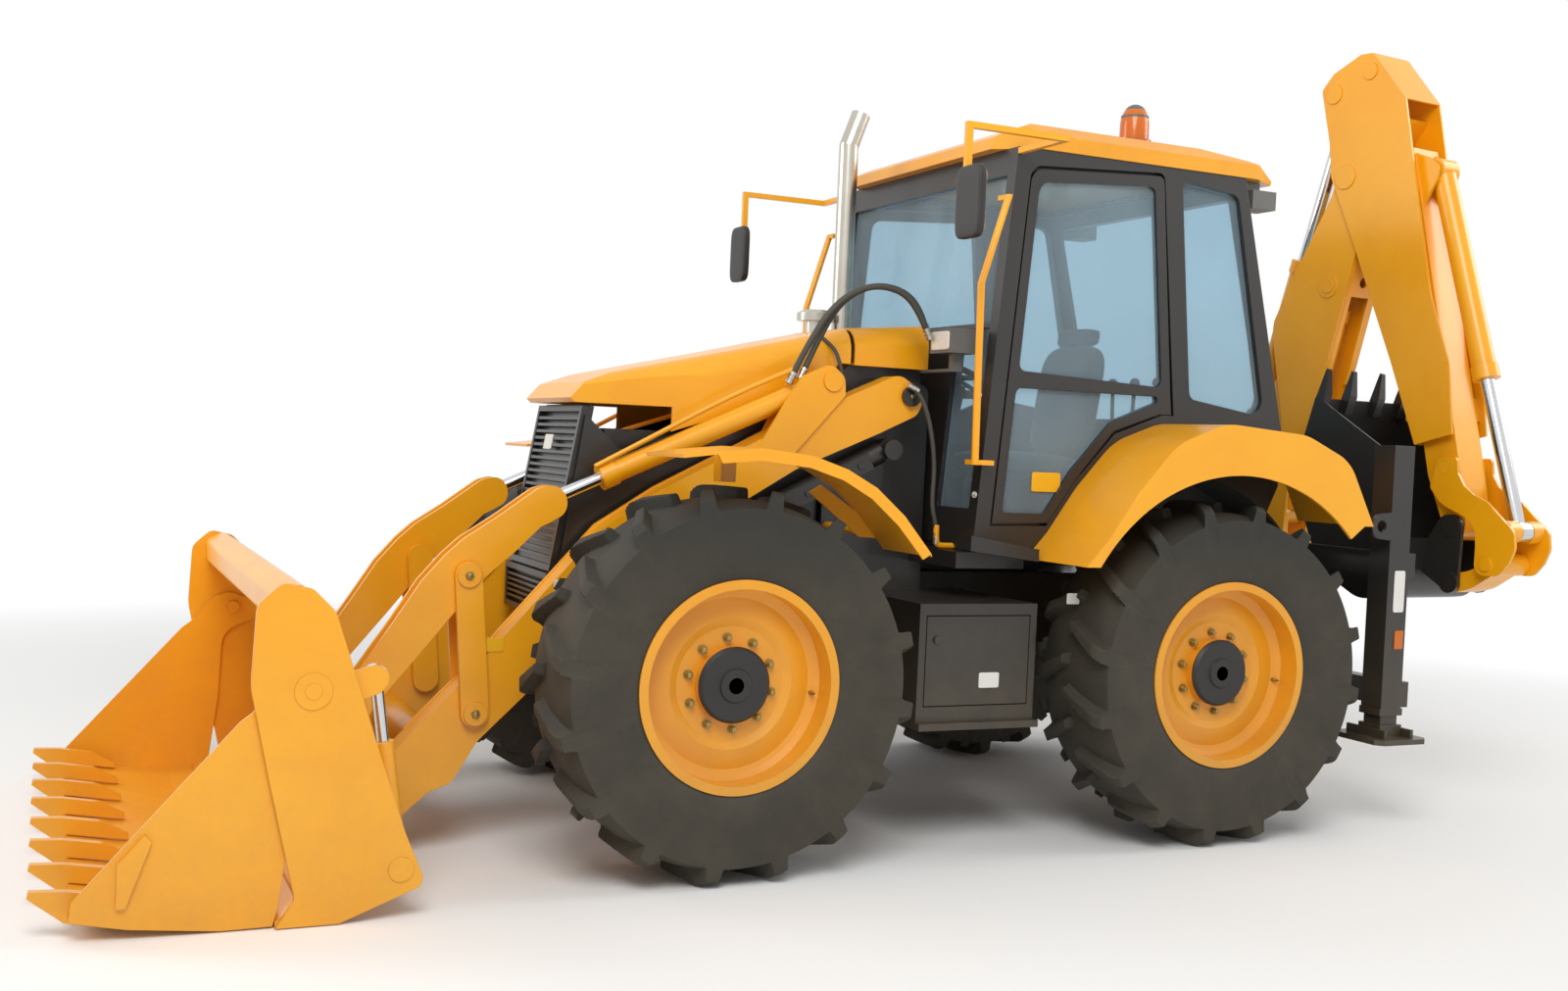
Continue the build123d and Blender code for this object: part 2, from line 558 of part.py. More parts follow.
def panes(side):
    glass = []
    for edge in (UPPER_PANE, LOWER_PANE):
        pane = plate(grown(edge, -0.3), CAB_HALF - 22, CAB_HALF - 16)
        glass.append(pane & Pos(0, 0, 0.3) * plate(edge, CAB_HALF - 30, CAB_HALF))
    return glass if side > 0 else [mirror(g, about=Plane.XZ) for g in glass]


for hand, side in (("left", 1), ("right", -1)):
    parts["door_" + hand] = door(side)
    parts["door_glass_" + hand] = panes(side)


def fixed_glass():
    """Windscreen with its lower panes, quarter windows and rear screen."""
    half = CAB_HALF - WALL + 1
    slope = [(post_x(z) - dx, z) for z, dx in ((2060.3, 20), (2659.7, 20), (2659.7, 26), (2060.3, 26))]
    glass = [plate(slope, -half + 15.3, half - 15.3)]
    low = [(post_x(z) - dx, z) for z, dx in ((1300.3, 20), (2039.7, 20), (2039.7, 26), (1300.3, 26))]
    quarter = plate(grown(QUARTER_EDGE, -0.3), CAB_HALF - 30, CAB_HALF - 24)
    for piece in (plate(low, 420.3, half - 15.3), quarter):
        glass += both_sides(piece)
    run = (C_TOP[0] - C_FOOT[0]) / (C_TOP[1] - C_FOOT[1])
    back = [(C_FOOT[0] + run * (z - C_FOOT[1]) + dx, z) for z, dx in ((1730.3, 20), (2679.7, 20), (2679.7, 26),
                                                                        (1730.3, 26))]
    return glass + [plate(back, -half + 30.3, half - 30.3)]


parts["cab_glass"] = fixed_glass()


def roof():
    """Crowned roof panel with rounded plan corners and a dropped front brow."""
    profile = [(-150, 2770), (-165, 2825, 25), (-290, 2880, 90), (-620, 2902, 900), (-1100, 2885, 900),
               (-1400, 2845, 400), (-1600, 2790, 8), (-1585, 2770), (-1300, 2770), (-330, 2770)]
    body = plate(profile, -ROOF_HALF, ROOF_HALF)
    plan = [(-150, -610), (-150, 610), (-300, ROOF_HALF), (-1430, ROOF_HALF), (-1600, 640), (-1600, -640),
            (-1430, -ROOF_HALF), (-300, -ROOF_HALF)]
    prism = extrude(make_face(Polyline(*[Vector(x, y, 2700) for x, y in plan], close=True)), amount=300)
    body &= prism
    sill = box(-1600, -150, -1000, 1000, 2700, 2800)
    upper = body - sill
    rounded = plate([(-ROOF_HALF, 2700), (-ROOF_HALF, 2830), (-ROOF_HALF + 55, 2878), (-ROOF_HALF + 210, 2910),
                     (ROOF_HALF - 210, 2910), (ROOF_HALF - 55, 2878), (ROOF_HALF, 2830), (ROOF_HALF, 2700)],
                    0, 2000)
    rounded = Rot(0, 0, 90) * rounded
    return (upper & rounded) + (body & sill)


parts["cab_roof"] = roof()


seat = box(-900, -560, -190, 190, 1181, 1422) + fillet(box(-960, -480, -240, 240, 1421, 1540).edges(), 30)
seat += plate([(-900, 1530), (-1000, 2130, 40), (-1110, 2130, 40), (-1030, 1530)], -230, 230)
parts["seat"] = seat
column = plate([(-200, 1181), (-280, 1181), (-420, 1820), (-370, 1835)], -60, 60)
column += box(-330, -174, -330, 330, 1560, 1680)
column += plate([(-174, 1181), (-174, 1680), (-212, 1680), (-212, 1181)], -330, 330)
wheel_ring = Torus(190, 14) + Cylinder(36, 30) + Box(24, 370, 14) + Box(370, 24, 14)
wheel_ring += Pos(0, 0, -45) * Cylinder(20, 90)
column += Pos(-400, 0, 1860) * Rot(0, -25, 0) * wheel_ring
console = box(-1500, -1230, -330, 330, 1516, 1700)
for y, lean in ((-240, 8), (-80, 3), (80, -3), (240, -8)):
    console += Pos(-1330, y, 1780) * Rot(lean, 0, 0) * Cylinder(9, 200)
    console += Pos(-1330, y - lean * 1.8, 1890) * Sphere(24)
parts["cab_controls"] = [column, console]


# ---------------------------------------------------------------- rear fenders
def rear_fender():
    """Wide pressed fender: humped top skin and a flat outer face down to the wheel arch."""
    hump = [(-330, 1105), (-430, 1215), (-560, 1400, 300), (-740, 1600, 300), (-980, 1690, 260),
            (-1400, 1660, 260), (-1640, 1560, 200), (-1790, 1290)]
    arch_end = [(-1740, 1290), (-1500, 1105)]
    body = plate(hump + arch_end, CAB_HALF + 0.3, FENDER_OUT)
    inner = [(-370, 1085), (-440, 1195), (-570, 1380, 300), (-748, 1582, 290), (-984, 1678, 250),
             (-1396, 1648, 250), (-1630, 1550, 190), (-1770, 1280), (-1740, 1000), (-1000, 1000)]
    body -= plate(inner, CAB_HALF, FENDER_OUT - 14)
    body -= round_bar((-WHEELBASE / 2, AXLE_Z), ARCH_R, CAB_HALF, FENDER_OUT + 1)
    return body


parts["fenders"] = both_sides(guard) + both_sides(rear_fender())

# ---------------------------------------------------------------- lamps, mirrors, beacon
MIRROR = (270, 1090)


def mirror_arm():
    """Door mirror on a cranked bar from the cab's roof corner."""
    case = box(205, 235, 1010, 1170, 2330, 2590)
    case = fillet(case.edges().filter_by(Axis.X), 40)
    arm = box(208, 232, 1040, 1064, 2560, 2740) + box(-200, 232, 1040, 1064, 2740, 2764)
    return case + arm + box(-224, -200, CAB_HALF + 0.3, 1064, 2740, 2764)


lamps = both_sides(box(-120, 10, 470, 640, 1930, 2030) + box(-75, -30, 560, 590, 1855.7, 1931)
                   + box(-75, -30, 302, 590, 1855.7, 1867.7))
lamps += both_sides(box(-1560, -1430, 600, 720, 2650, 2730) + box(-1500, -1390, 640, 680, 2731, 2768))
BEACON = (-970, 465)
beacon = Pos(*BEACON, 2895) * Cylinder(74, 60) + Pos(*BEACON, 2975) * Cylinder(60, 110) + Pos(*BEACON, 3030) * Sphere(52)
parts["lamps"] = lamps + [beacon - parts["cab_roof"]]
rail_path = Polyline((-30, CAB_HALF + 60, 1480), (-20, CAB_HALF + 60, 2200), (-130, CAB_HALF + 60, 2560))
rail_tube = sweep(Plane(rail_path @ 0, z_dir=rail_path % 0) * Circle(15), path=rail_path)
rail_tube += box(-135, -115, CAB_HALF, CAB_HALF + 60, 2540, 2560) + box(-120, -20, CAB_HALF, CAB_HALF + 60, 1480, 1500)
parts["mirrors_and_rails"] = both_sides(mirror_arm()) + both_sides(rail_tube)


# ---------------------------------------------------------------- loader
LINK_PLATES = ((ARM_IN + 10, ARM_IN + 30), (ARM_OUT - 20, ARM_OUT))     # inner and outer, |Y|
EAR_PLATES = ((ARM_IN - 30, ARM_IN - 10), (ARM_OUT + 5, ARM_OUT + 25))
EYE_MID = (ARM_IN + ARM_OUT) / 2
LIFT_LUGS = ((ARM_IN + 8, ARM_IN + 22), (ARM_OUT - 22, ARM_OUT - 8))


def loader_arms():
    """Two box arms joined by the cross tube, with the tilt towers and the lift ram lugs."""
    side_view = [(150, 1835, 60), (480, 1690), (1168, 1332), (1400, 1180), (1556, 1005), (1917, 600),
                 (2186, 330), (2290, 230, 60), (2260, 110, 60), (2122, 120, 40), (2022, 205), (1940, 235, 60),
                 (1850, 385, 200), (1500, 720), (1180, 1080), (600, 1430), (230, 1590), (60, 1670, 60),
                 (15, 1760, 70)]
    arm = plate(side_view, ARM_IN, ARM_OUT)
    tower = [(400, 1735), (405, 1810, 55), (470, 1860, 50), (560, 1820, 60), (600, 1800, 50), (790, 1489),
             (620, 1489)]
    arm += plate(tower, ARM_OUT - 1, ARM_OUT + 14)
    stand = [(400, 1735), (405, 1810, 55), (470, 1860, 50), (560, 1820, 60), (600, 1800, 50), (720, 1560),
             (470, 1680)]
    arm += plate(stand, ARM_IN, ARM_IN + 5)
    arm += round_bar(TILT_BASE, PIN_R, ARM_IN, ARM_OUT + 14) + round_bar(TILT_BASE, 42, ARM_OUT + 13, ARM_OUT + 22)
    lug = [(980, 1220), (1070, 1020, 50), (1130, 975, 60), (1200, 1020, 50), (1250, 1020)]
    for y0, y1 in LIFT_LUGS:
        arm += plate(lug, y0, y1)
    for centre in (ARM_PIVOT, BUCKET_PIN, LEVER_FOOT):
        arm -= round_bar(centre, PIN_R + PIN_FIT, 0, 600)
    flange = plate([(500, 1688), (1168, 1339), (1400, 1188), (1556, 1012), (1917, 607), (2100, 424),
                    (2100, 410), (1900, 600), (1500, 1050), (1300, 1230), (1000, 1400), (500, 1670)],
                   ARM_IN - 6, ARM_IN + 10)
    arm += flange
    tube = round_bar(CROSS_TUBE, CROSS_TUBE_R, -ARM_IN - 2, ARM_IN + 2)
    return arm + mirror(arm, about=Plane.XZ) + tube


parts["loader_arms"] = loader_arms()


def bucket_lever():
    """Inner and outer plates of the rocker with their two pins."""
    body = None
    for y0, y1 in EAR_PLATES:
        side = link_plate([(*LEVER_FOOT, 52), (*LEVER_TOP, 50)], y0, y1)
        body = side if body is None else body + side
    for centre in (LEVER_FOOT, LEVER_TOP):
        body += round_bar(centre, PIN_R, EAR_PLATES[0][0], EAR_PLATES[1][1])
        body += round_bar(centre, 44, EAR_PLATES[1][1] - 1, EAR_PLATES[1][1] + 8)
    return body


parts["bucket_levers"] = both_sides(bucket_lever())


def long_link():
    """Pair of cranked plates from the tilt ram to the bucket, carried on the lever's top pin."""
    top = [(1657, 1322, 60), (1805, 1213), (1925, 1133), (1992, 1071), (2074, 976), (2178, 814), (2297, 637)]
    nose = [(2377, 538, 50), (2330, 458, 50)]
    low = [(2254, 483), (2178, 584), (2032, 761), (1949, 864), (1849, 986), (1737, 1083), (1640, 1180),
           (1600, 1200, 60), (1530, 1240, 60), (1560, 1350, 60)]
    body = None
    for y0, y1 in LINK_PLATES:
        side = plate(top + nose + low, y0, y1)
        body = side if body is None else body + side
    body += round_bar(LEVER_TOP, 48, LINK_PLATES[0][0], LINK_PLATES[1][1])
    tie = [(2090, 800), (2040, 870), (2060, 885), (2110, 815)]
    body += plate(tie, LINK_PLATES[0][0], LINK_PLATES[1][1])
    return body - round_bar(LEVER_TOP, PIN_R + PIN_FIT, 0, 600)


parts["long_links"] = both_sides(long_link())

lift_barrel, lift_rod = ram(LIFT_BASE, LIFT_EYE, 46, 27, 640, 370, 45, 28, 28, EYE_MID)
tilt_barrel, tilt_rod = ram(TILT_BASE, TILT_EYE, 43, 25, 1030, 750, 45, 25, 25, EYE_MID)
parts["lift_rods"] = both_sides(lift_rod)
parts["tilt_barrels"] = both_sides(tilt_barrel)
parts["tilt_rods"] = both_sides(tilt_rod)


def safety_strut():
    """Arm prop stored along the outside of a lift ram's barrel."""
    turn = degrees(atan2(LIFT_EYE[1] - LIFT_BASE[1], LIFT_EYE[0] - LIFT_BASE[0]))
    strut = box(110, 780, 479, 487, -36, 36) + box(110, 780, 470, 480, -36, -28)
    for station in (160, 420):
        strut += Pos(station, 0, 0) * round_bar((0, 0), 16, EYE_MID + 46.2, 492)
    return Pos(LIFT_BASE[0], 0, LIFT_BASE[1]) * Rot(0, -turn, 0) * strut


parts["lift_barrels"] = both_sides(lift_barrel) + both_sides(safety_strut())


# ---------------------------------------------------------------- front bucket
PLATE_IN = BUCKET_HALF - 16
NOTCH_Y = 1054             # where the back is cut away for the clam rams
CLAM_Y = 1100
JAW_Y = (1165, 1177)


def mould_curve(offset):
    """Rear face of the curved back, moved forward by an offset."""
    return ThreePointArc(Vector(2590 + offset, 0, 1005), Vector(2395 + offset, 0, 550), Vector(2560 + offset, 0, 20))


def front_bucket():
    """Back half: curved mouldboard, end plates, top box beam and the ears for arms and links."""
    sheet = 14
    rear, front = mould_curve(0), mould_curve(sheet)
    face = make_face([rear, Line(rear @ 1, front @ 1), front, Line(front @ 0, rear @ 0)])
    body = thick(face, -PLATE_IN, PLATE_IN)
    for side in (-1, 1):
        lo, hi = sorted((side * NOTCH_Y, side * (BUCKET_HALF + 1)))
        body -= box(2300, 2560, lo, hi, 350, 860)
    body += plate([(2540, 885), (2522, 985, 25), (2600, 1034, 30), (2672, 1000, 30), (2664, 905, 25),
                   (2600, 870)], -PLATE_IN, PLATE_IN)
    body += plate([(2555, 24), (2574, 40), (2640, -12), (2640, FLOOR_Z + 4), (2612, FLOOR_Z + 4)],
                  -PLATE_IN, PLATE_IN)
    body += plate([(2440, 70), (2440, 190), (2500, 130), (2540, 60)], -PLATE_IN, PLATE_IN)
    end = [(2650, 1040, 40), (2560, 1020, 40), (2490, 950, 60), (2330, 470), (2250, 240), (2190, 100, 10),
           (2200, 70, 10), (2450, FLOOR_Z + 4, 20), (2640, FLOOR_Z + 4), (2585, 60, 40), (2670, 420, 400),
           (2735, 720, 200), (2725, 970, 60)]
    for side in (-1, 1):
        lo, hi = sorted((side * PLATE_IN, side * BUCKET_HALF))
        body += plate(end, lo, hi)
        lo, hi = sorted((side * (JAW_Y[0] - 22), side * (BUCKET_HALF + 6)))
        body += round_bar(JAW_PIVOT, 26, lo, hi)
        lo, hi = sorted((side * (BUCKET_HALF - 1), side * (BUCKET_HALF + 4)))
        body += round_bar(JAW_PIVOT, 58, lo, hi) + round_bar((2262, 130), 40, lo, hi)
        lo, hi = sorted((side * (CLAM_Y - 58), side * (CLAM_Y - 46)))
        body += plate([(2215, 110, 20), (2230, 190, 30), (2310, 190, 30), (2430, 240), (2500, 130), (2440, 60),
                       (2250, 85, 20)], lo, hi)
        lo, hi = sorted((side * (CLAM_Y - 58), side * (PLATE_IN + 1)))
        body += round_bar(CLAM_BASE, 22, lo, hi)
        ear = [(2170, 190, 40), (2190, 108, 45), (2300, 90, 60), (2500, 90), (2470, 200), (2415, 400),
               (2408, 560), (2425, 700), (2380, 690, 60), (2265, 570, 60), (2255, 460, 200), (2180, 260, 60)]
        for y0, y1 in EAR_PLATES:
            lo, hi = sorted((side * y0, side * y1))
            body += plate(ear, lo, hi)
        lo, hi = sorted((side * EAR_PLATES[0][0], side * EAR_PLATES[1][1]))
        body += round_bar(BUCKET_PIN, PIN_R, lo, hi)
    return body


parts["front_bucket"] = front_bucket()


def tooth():
    """Forged tooth with its upper and lower straps over the edge of the floor."""
    return plate([(TOOTH_TIP_X, 116), (TOOTH_TIP_X + 4, 98), (3232, 18), (3080, -14), (3080, -2), (3216, 18),
                  (3216, 52), (3015, 22), (3015, 40), (3110, 92, 30), (3235, 112)], -17, 17)


def front_jaw():
    """Front half: floor, side plates hung on the upper pivots, cutting edge and teeth."""
    body = plate([(2646, -26), (2646, 0), (2800, -8), (3060, 20), (3222, 50), (3222, 34), (3060, 0),
                  (2800, -27)], -JAW_Y[1], JAW_Y[1])
    body += plate([(2646, -26), (2646, 60, 20), (2700, 0)], -JAW_Y[1], JAW_Y[1])
    side_view = [(2646, -26), (2800, -27), (3060, 2), (3222, 36), (3217, 90), (2759, 611, 60), (2722, 640, 60),
                 (2640, 745, 60), (2560, 772, 60), (2500, 740, 80), (2350, 782, 40), (2300, 740, 40),
                 (2340, 690, 40), (2480, 640, 60), (2590, 600, 100), (2600, 300, 400), (2632, 30)]
    for side in (-1, 1):
        lo, hi = sorted((side * JAW_Y[0], side * JAW_Y[1]))
        plate_side = plate(side_view, lo, hi) - round_bar(JAW_PIVOT, 26 + PIN_FIT, -1300, 1300)
        body += plate_side
        lo, hi = sorted((side * (CLAM_Y + 22), side * (JAW_Y[0] + 1)))
        body += round_bar(CLAM_EYE, 24, lo, hi)
        lo, hi = sorted((side * (JAW_Y[1] - 1), side * (JAW_Y[1] + 14)))
        body += plate([(3000, 262), (3020, 285), (3095, 200), (3095, 66), (3068, 66)], lo, hi)
    spacing = TOOTH_SPAN / (TOOTH_COUNT - 1)
    for i in range(TOOTH_COUNT):
        body += Pos(0, -TOOTH_SPAN / 2 + i * spacing, 0) * tooth()
    return body


parts["front_jaw"] = front_jaw()


def clam_ram():
    """Upright ram behind the end plate: barrel on the lower pin, rod on the jaw's lever."""
    length = hypot(CLAM_EYE[0] - CLAM_BASE[0], CLAM_EYE[1] - CLAM_BASE[1])
    turn = degrees(atan2(CLAM_EYE[1] - CLAM_BASE[1], CLAM_EYE[0] - CLAM_BASE[0]))
    place = Pos(CLAM_BASE[0], CLAM_Y, CLAM_BASE[1]) * Rot(0, -turn, 0)
    along = Rot(0, 90, 0)
    barrel = Pos(210, 0, 0) * along * Cylinder(36, 370) + round_bar((0, 0), 38, -22, 22)
    barrel -= Pos(235, 0, 0) * along * Cylinder(20.5, 340)
    barrel -= round_bar((0, 0), 22.5, -30, 30)
    rod = Pos((270 + length) / 2, 0, 0) * along * Cylinder(20, length - 270)
    rod += round_bar((length, 0), 36, -20, 20)
    return place * barrel, place * rod


clam_barrel, clam_rod = clam_ram()
parts["clam_barrels"] = both_sides(clam_barrel)
parts["clam_rods"] = both_sides(clam_rod)


# ---------------------------------------------------------------- rear frame and stabiliser legs
RAIL_X = (-2090, -2010)
RAIL_H = 110
LEG_WALL = 8
LEG_FIT = 2                # gap between a leg and its housing
LEG_SPAN_Y = (LEG_Y - LEG_W / 2, LEG_Y + LEG_W / 2)


def rear_frame():
    """Two cross rails for the carriage, the leg housings at their ends and the chassis joint."""
    body = None
    for z in RAIL_Z:
        rail = box(*RAIL_X, -LEG_SPAN_Y[1], LEG_SPAN_Y[1], z - RAIL_H / 2, z + RAIL_H / 2)
        body = rail if body is None else body + rail
    body += box(-2011, -1990, -480, 480, RAIL_Z[0] - 90, RAIL_Z[1] + 70)
    body -= box(-2020, -1980, -240, 240, RAIL_Z[0] + 60, 750)
    body -= box(-2020, -1980, -240, 240, 1015, RAIL_Z[1] - 58)
    for side in (-1, 1):
        lo, hi = sorted((side * 262, side * 302))
        body += box(-1991, -1901, lo, hi, 762, 1008)
        lo, hi = sorted((side * LEG_SPAN_Y[0], side * LEG_SPAN_Y[1]))
        body += box(LEG_X - LEG_W / 2, LEG_X + LEG_W / 2, lo, hi, 470, 1640)
        bore_lo, bore_hi = sorted((side * (LEG_SPAN_Y[0] + LEG_WALL), side * (LEG_SPAN_Y[1] - LEG_WALL)))
        body -= box(LEG_X - LEG_W / 2 + LEG_WALL, LEG_X + LEG_W / 2 - LEG_WALL, bore_lo, bore_hi, 460, 1632)
        eye_lo, eye_hi = sorted((side * (LEG_SPAN_Y[1] - 14), side * LEG_SPAN_Y[1]))
        eye = link_plate([(-1945, 1290, 60), (-1885, 1290, 55)], eye_lo, eye_hi)
        body += eye - round_bar((-1885, 1290), 26, eye_lo - 1, eye_hi + 1) - box(-2052 + LEG_WALL, -1946,
                                                                                 bore_lo, bore_hi, 1200, 1400)
        body += box(-2060, -1930, lo - 2, hi + 2, 470, 500) - box(-2052 + LEG_WALL, -1938 - LEG_WALL,
                                                                  bore_lo, bore_hi, 460, 510)
    return body


parts["chassis_frame"] = [parts["chassis_frame"], rear_frame()]


def stabiliser(side):
    """Sliding leg with its pad, inside a housing."""
    half = LEG_W / 2 - LEG_WALL - LEG_FIT
    leg = box(LEG_X - half, LEG_X + half, side * LEG_Y - half, side * LEG_Y + half, 425, 1560)
    pad = box(LEG_X - 145, LEG_X + 145, side * LEG_Y - 145, side * LEG_Y + 145, 358, 380)
    pad = chamfer(pad.edges().filter_by(Axis.Z), 30)
    pad += box(LEG_X - 62, LEG_X + 62, side * LEG_Y - 62, side * LEG_Y + 62, 379, 430)
    for dx in (-75, 75):
        pad += box(LEG_X + dx - 8, LEG_X + dx + 8, side * LEG_Y - 110, side * LEG_Y + 110, 379, 415)
    return leg + pad


for hand, side in (("left", 1), ("right", -1)):
    parts["stabiliser_" + hand] = stabiliser(side)


# ---------------------------------------------------------------- backhoe carriage and kingpost
LUG_Z = ((480, 545), (1100, 1165))      # lower and upper slew lugs
LUG_R = 88
SLEW_PIN_R = 45
CARRIAGE_HALF = 235


def carriage():
    """Casting that hooks over both rails and holds the slew pins."""
    y0, y1 = CARRIAGE_Y - CARRIAGE_HALF, CARRIAGE_Y + CARRIAGE_HALF
    gap = 0.5
    back = RAIL_X[0] - gap
    body = box(back - 60, back, y0, y1, RAIL_Z[0] - 85, RAIL_Z[1] + 95)
    for z, sign in ((RAIL_Z[0] - RAIL_H / 2 - gap, -1), (RAIL_Z[1] + RAIL_H / 2 + gap, 1)):
        z0, z1 = sorted((z, z + sign * 32))
        body += box(back - 1, RAIL_X[1] - 6, y0, y1, z0, z1)
    for z, sign in ((RAIL_Z[0] + RAIL_H / 2 + gap, 1), (RAIL_Z[1] - RAIL_H / 2 - gap, -1)):
        z0, z1 = sorted((z, z + sign * 30))
        body += box(back - 1, -2050, y0, y1, z0, z1)
    for z0, z1 in LUG_Z:
        lug = box(SLEW_X, back - 59, CARRIAGE_Y - LUG_R, CARRIAGE_Y + LUG_R, z0, z1)
        lug += box(back - 160, back - 59, CARRIAGE_Y - 150, CARRIAGE_Y + 150, z0, z1)
        lug += Pos(SLEW_X, CARRIAGE_Y, (z0 + z1) / 2) * Cylinder(LUG_R, z1 - z0)
        body += lug
    for dy in (-180, 0, 180):
        body += box(back - 130, back - 59, CARRIAGE_Y + dy - 10, CARRIAGE_Y + dy + 10, LUG_Z[0][0], LUG_Z[1][1])
    body -= Pos(SLEW_X, CARRIAGE_Y, 800) * Cylinder(SLEW_PIN_R + PIN_FIT, 1000)
    return body


parts["carriage"] = carriage()
POSED = Pos(SLEW_X, CARRIAGE_Y, 0) * Rot(0, 0, 180 - SLEW_REST) * Pos(-SLEW_R, 0, 0)
TOWER = (64, 84)           # kingpost side plates, inside the boom's fork


def mirrored(points, y0, y1):
    """A plate and its twin on the other side of the backhoe's middle plane."""
    side = plate(points, y0, y1)
    return side + mirror(side, about=Plane.XZ)


def kingpost():
    """Slewing post: bearing tube between the lugs, and plates for the boom and its ram."""
    z0, z1 = LUG_Z[0][1] + 4, LUG_Z[1][0] - 4
    body = Pos(SLEW_R, 0, (z0 + z1) / 2) * Cylinder(78, z1 - z0)
    for lug0, lug1 in LUG_Z:
        body += Pos(SLEW_R, 0, (lug0 + lug1) / 2) * Cylinder(SLEW_PIN_R, lug1 - lug0 + 12)
    side_view = [(-190, z0), (-60, z0, 60), (60, 740, 60), (150, 770, 50), (172, 850, 55), (145, 930, 60),
                 (138, 1330, 55), (40, 1350, 50), (-60, 1240, 60), (-98, z1), (-190, z1)]
    body += mirrored(side_view, *TOWER)
    body += plate([(-190, z0), (-60, z0), (-40, 700), (-40, 1060), (-98, z1), (-190, z1)], -TOWER[0] - 1, TOWER[0] + 1)
    body += round_bar(BOOM_RAM_BASE, PIN_R, -TOWER[1], TOWER[1])
    body += round_bar(BOOM_FOOT, PIN_R + 10, -BOOM_HALF - 14, BOOM_HALF + 14)
    body += round_bar(BOOM_FOOT, 58, -TOWER[0] - 1, TOWER[0] + 1)
    for side in (-1, 1):
        lo, hi = sorted((side * (BOOM_HALF + 3), side * (BOOM_HALF + 14)))
        body += round_bar(BOOM_FOOT, 56, lo, hi)
    return body


parts["kingpost"] = POSED * kingpost()


# ---------------------------------------------------------------- boom
BOOM_PLATE = 16
LUG_IN = 63                # dipper ram lugs, wide enough for the boom ram to swing between
SLOT_HALF = 60             # slot in the boom's front web, which the boom ram's rod swings into


def boom():
    """Banana-shaped channel: a narrow fork at the foot, webs above, and lugs for both rams."""
    inner = BOOM_HALF - BOOM_PLATE
    side_view = [(35, 840), (30, 1137), (50, 1400), (116, 1681, 400), (8, 2200, 60), (15, 2265, 60),
                 (141, 2513, 400), (345, 2862, 300), (380, 3010, 60), (470, 3015, 60), (520, 2900, 60),
                 (517, 2608, 500), (367, 2036, 600), (229, 1610, 300), (158, 1400, 200), (142, 1137),
                 (155, 840)]
    body = mirrored(side_view, inner, BOOM_HALF)
    body += mirror(round_bar(BOOM_FOOT, 60, inner, BOOM_HALF), about=Plane.XZ) + round_bar(BOOM_FOOT, 60, inner,
                                                                                        BOOM_HALF)
    body += mirrored([(344, 1950), (332, 1954), (357, 2046), (442, 2370), (457, 2370), (371, 2042)],
                     SLOT_HALF, inner + 1)
    body += plate([(441.5, 2369), (503, 2605), (517, 2601), (456.5, 2369)], -inner - 1, inner + 1)
    body += plate([(503, 2604), (510, 2760), (524, 2760), (517, 2600)], -inner - 1, inner + 1)
    body += plate([(164, 2552), (345, 2862), (357, 2856), (176, 2546)], -inner - 1, inner + 1)
    lug = [(-195, 1790, 45), (-160, 1720, 45), (104, 1704), (84, 1994), (60, 2003, 20), (-110, 1840, 60)]
    body += mirrored(lug, LUG_IN, LUG_IN + 16)
    body += mirrored([(94, 1724), (109, 1724), (86, 1968), (68, 1968)], LUG_IN, inner + 1)
    body += round_bar(DIPPER_RAM_BASE, PIN_R, -79, 79)
    body += round_bar(BOOM_RAM_EYE, 34, inner - 18, BOOM_HALF + 8) + round_bar(BOOM_RAM_EYE, 34, -BOOM_HALF - 8,
                                                                              -inner + 18)
    body += round_bar(BOOM_RAM_EYE, 56, BOOM_HALF - 1, BOOM_HALF + 5) + round_bar(BOOM_RAM_EYE, 56, -BOOM_HALF - 5,
                                                                                 -BOOM_HALF + 1)
    body -= round_bar(BOOM_FOOT, PIN_R + 10 + PIN_FIT, -300, 300)
    body -= round_bar(DIPPER_PIN, PIN_R + PIN_FIT, -300, 300)
    body -= Pos(455, 0, 2440) * Rot(0, 90, 0) * Cylinder(26, 200)
    return body


parts["boom"] = POSED * boom()


# ---------------------------------------------------------------- dipper
CHEEK = 12
RAIL_START = (763, 3271)   # top of the straight rear edge, along which the inner dipper runs
RAIL_TURN = degrees(atan2(SLIDE[1], SLIDE[0]))


def along_rail(s, n):
    """Point at a distance down the dipper's rear edge and a distance out from it."""
    return (RAIL_START[0] + SLIDE[0] * s - SLIDE[1] * n, RAIL_START[1] + SLIDE[1] * s + SLIDE[0] * n)


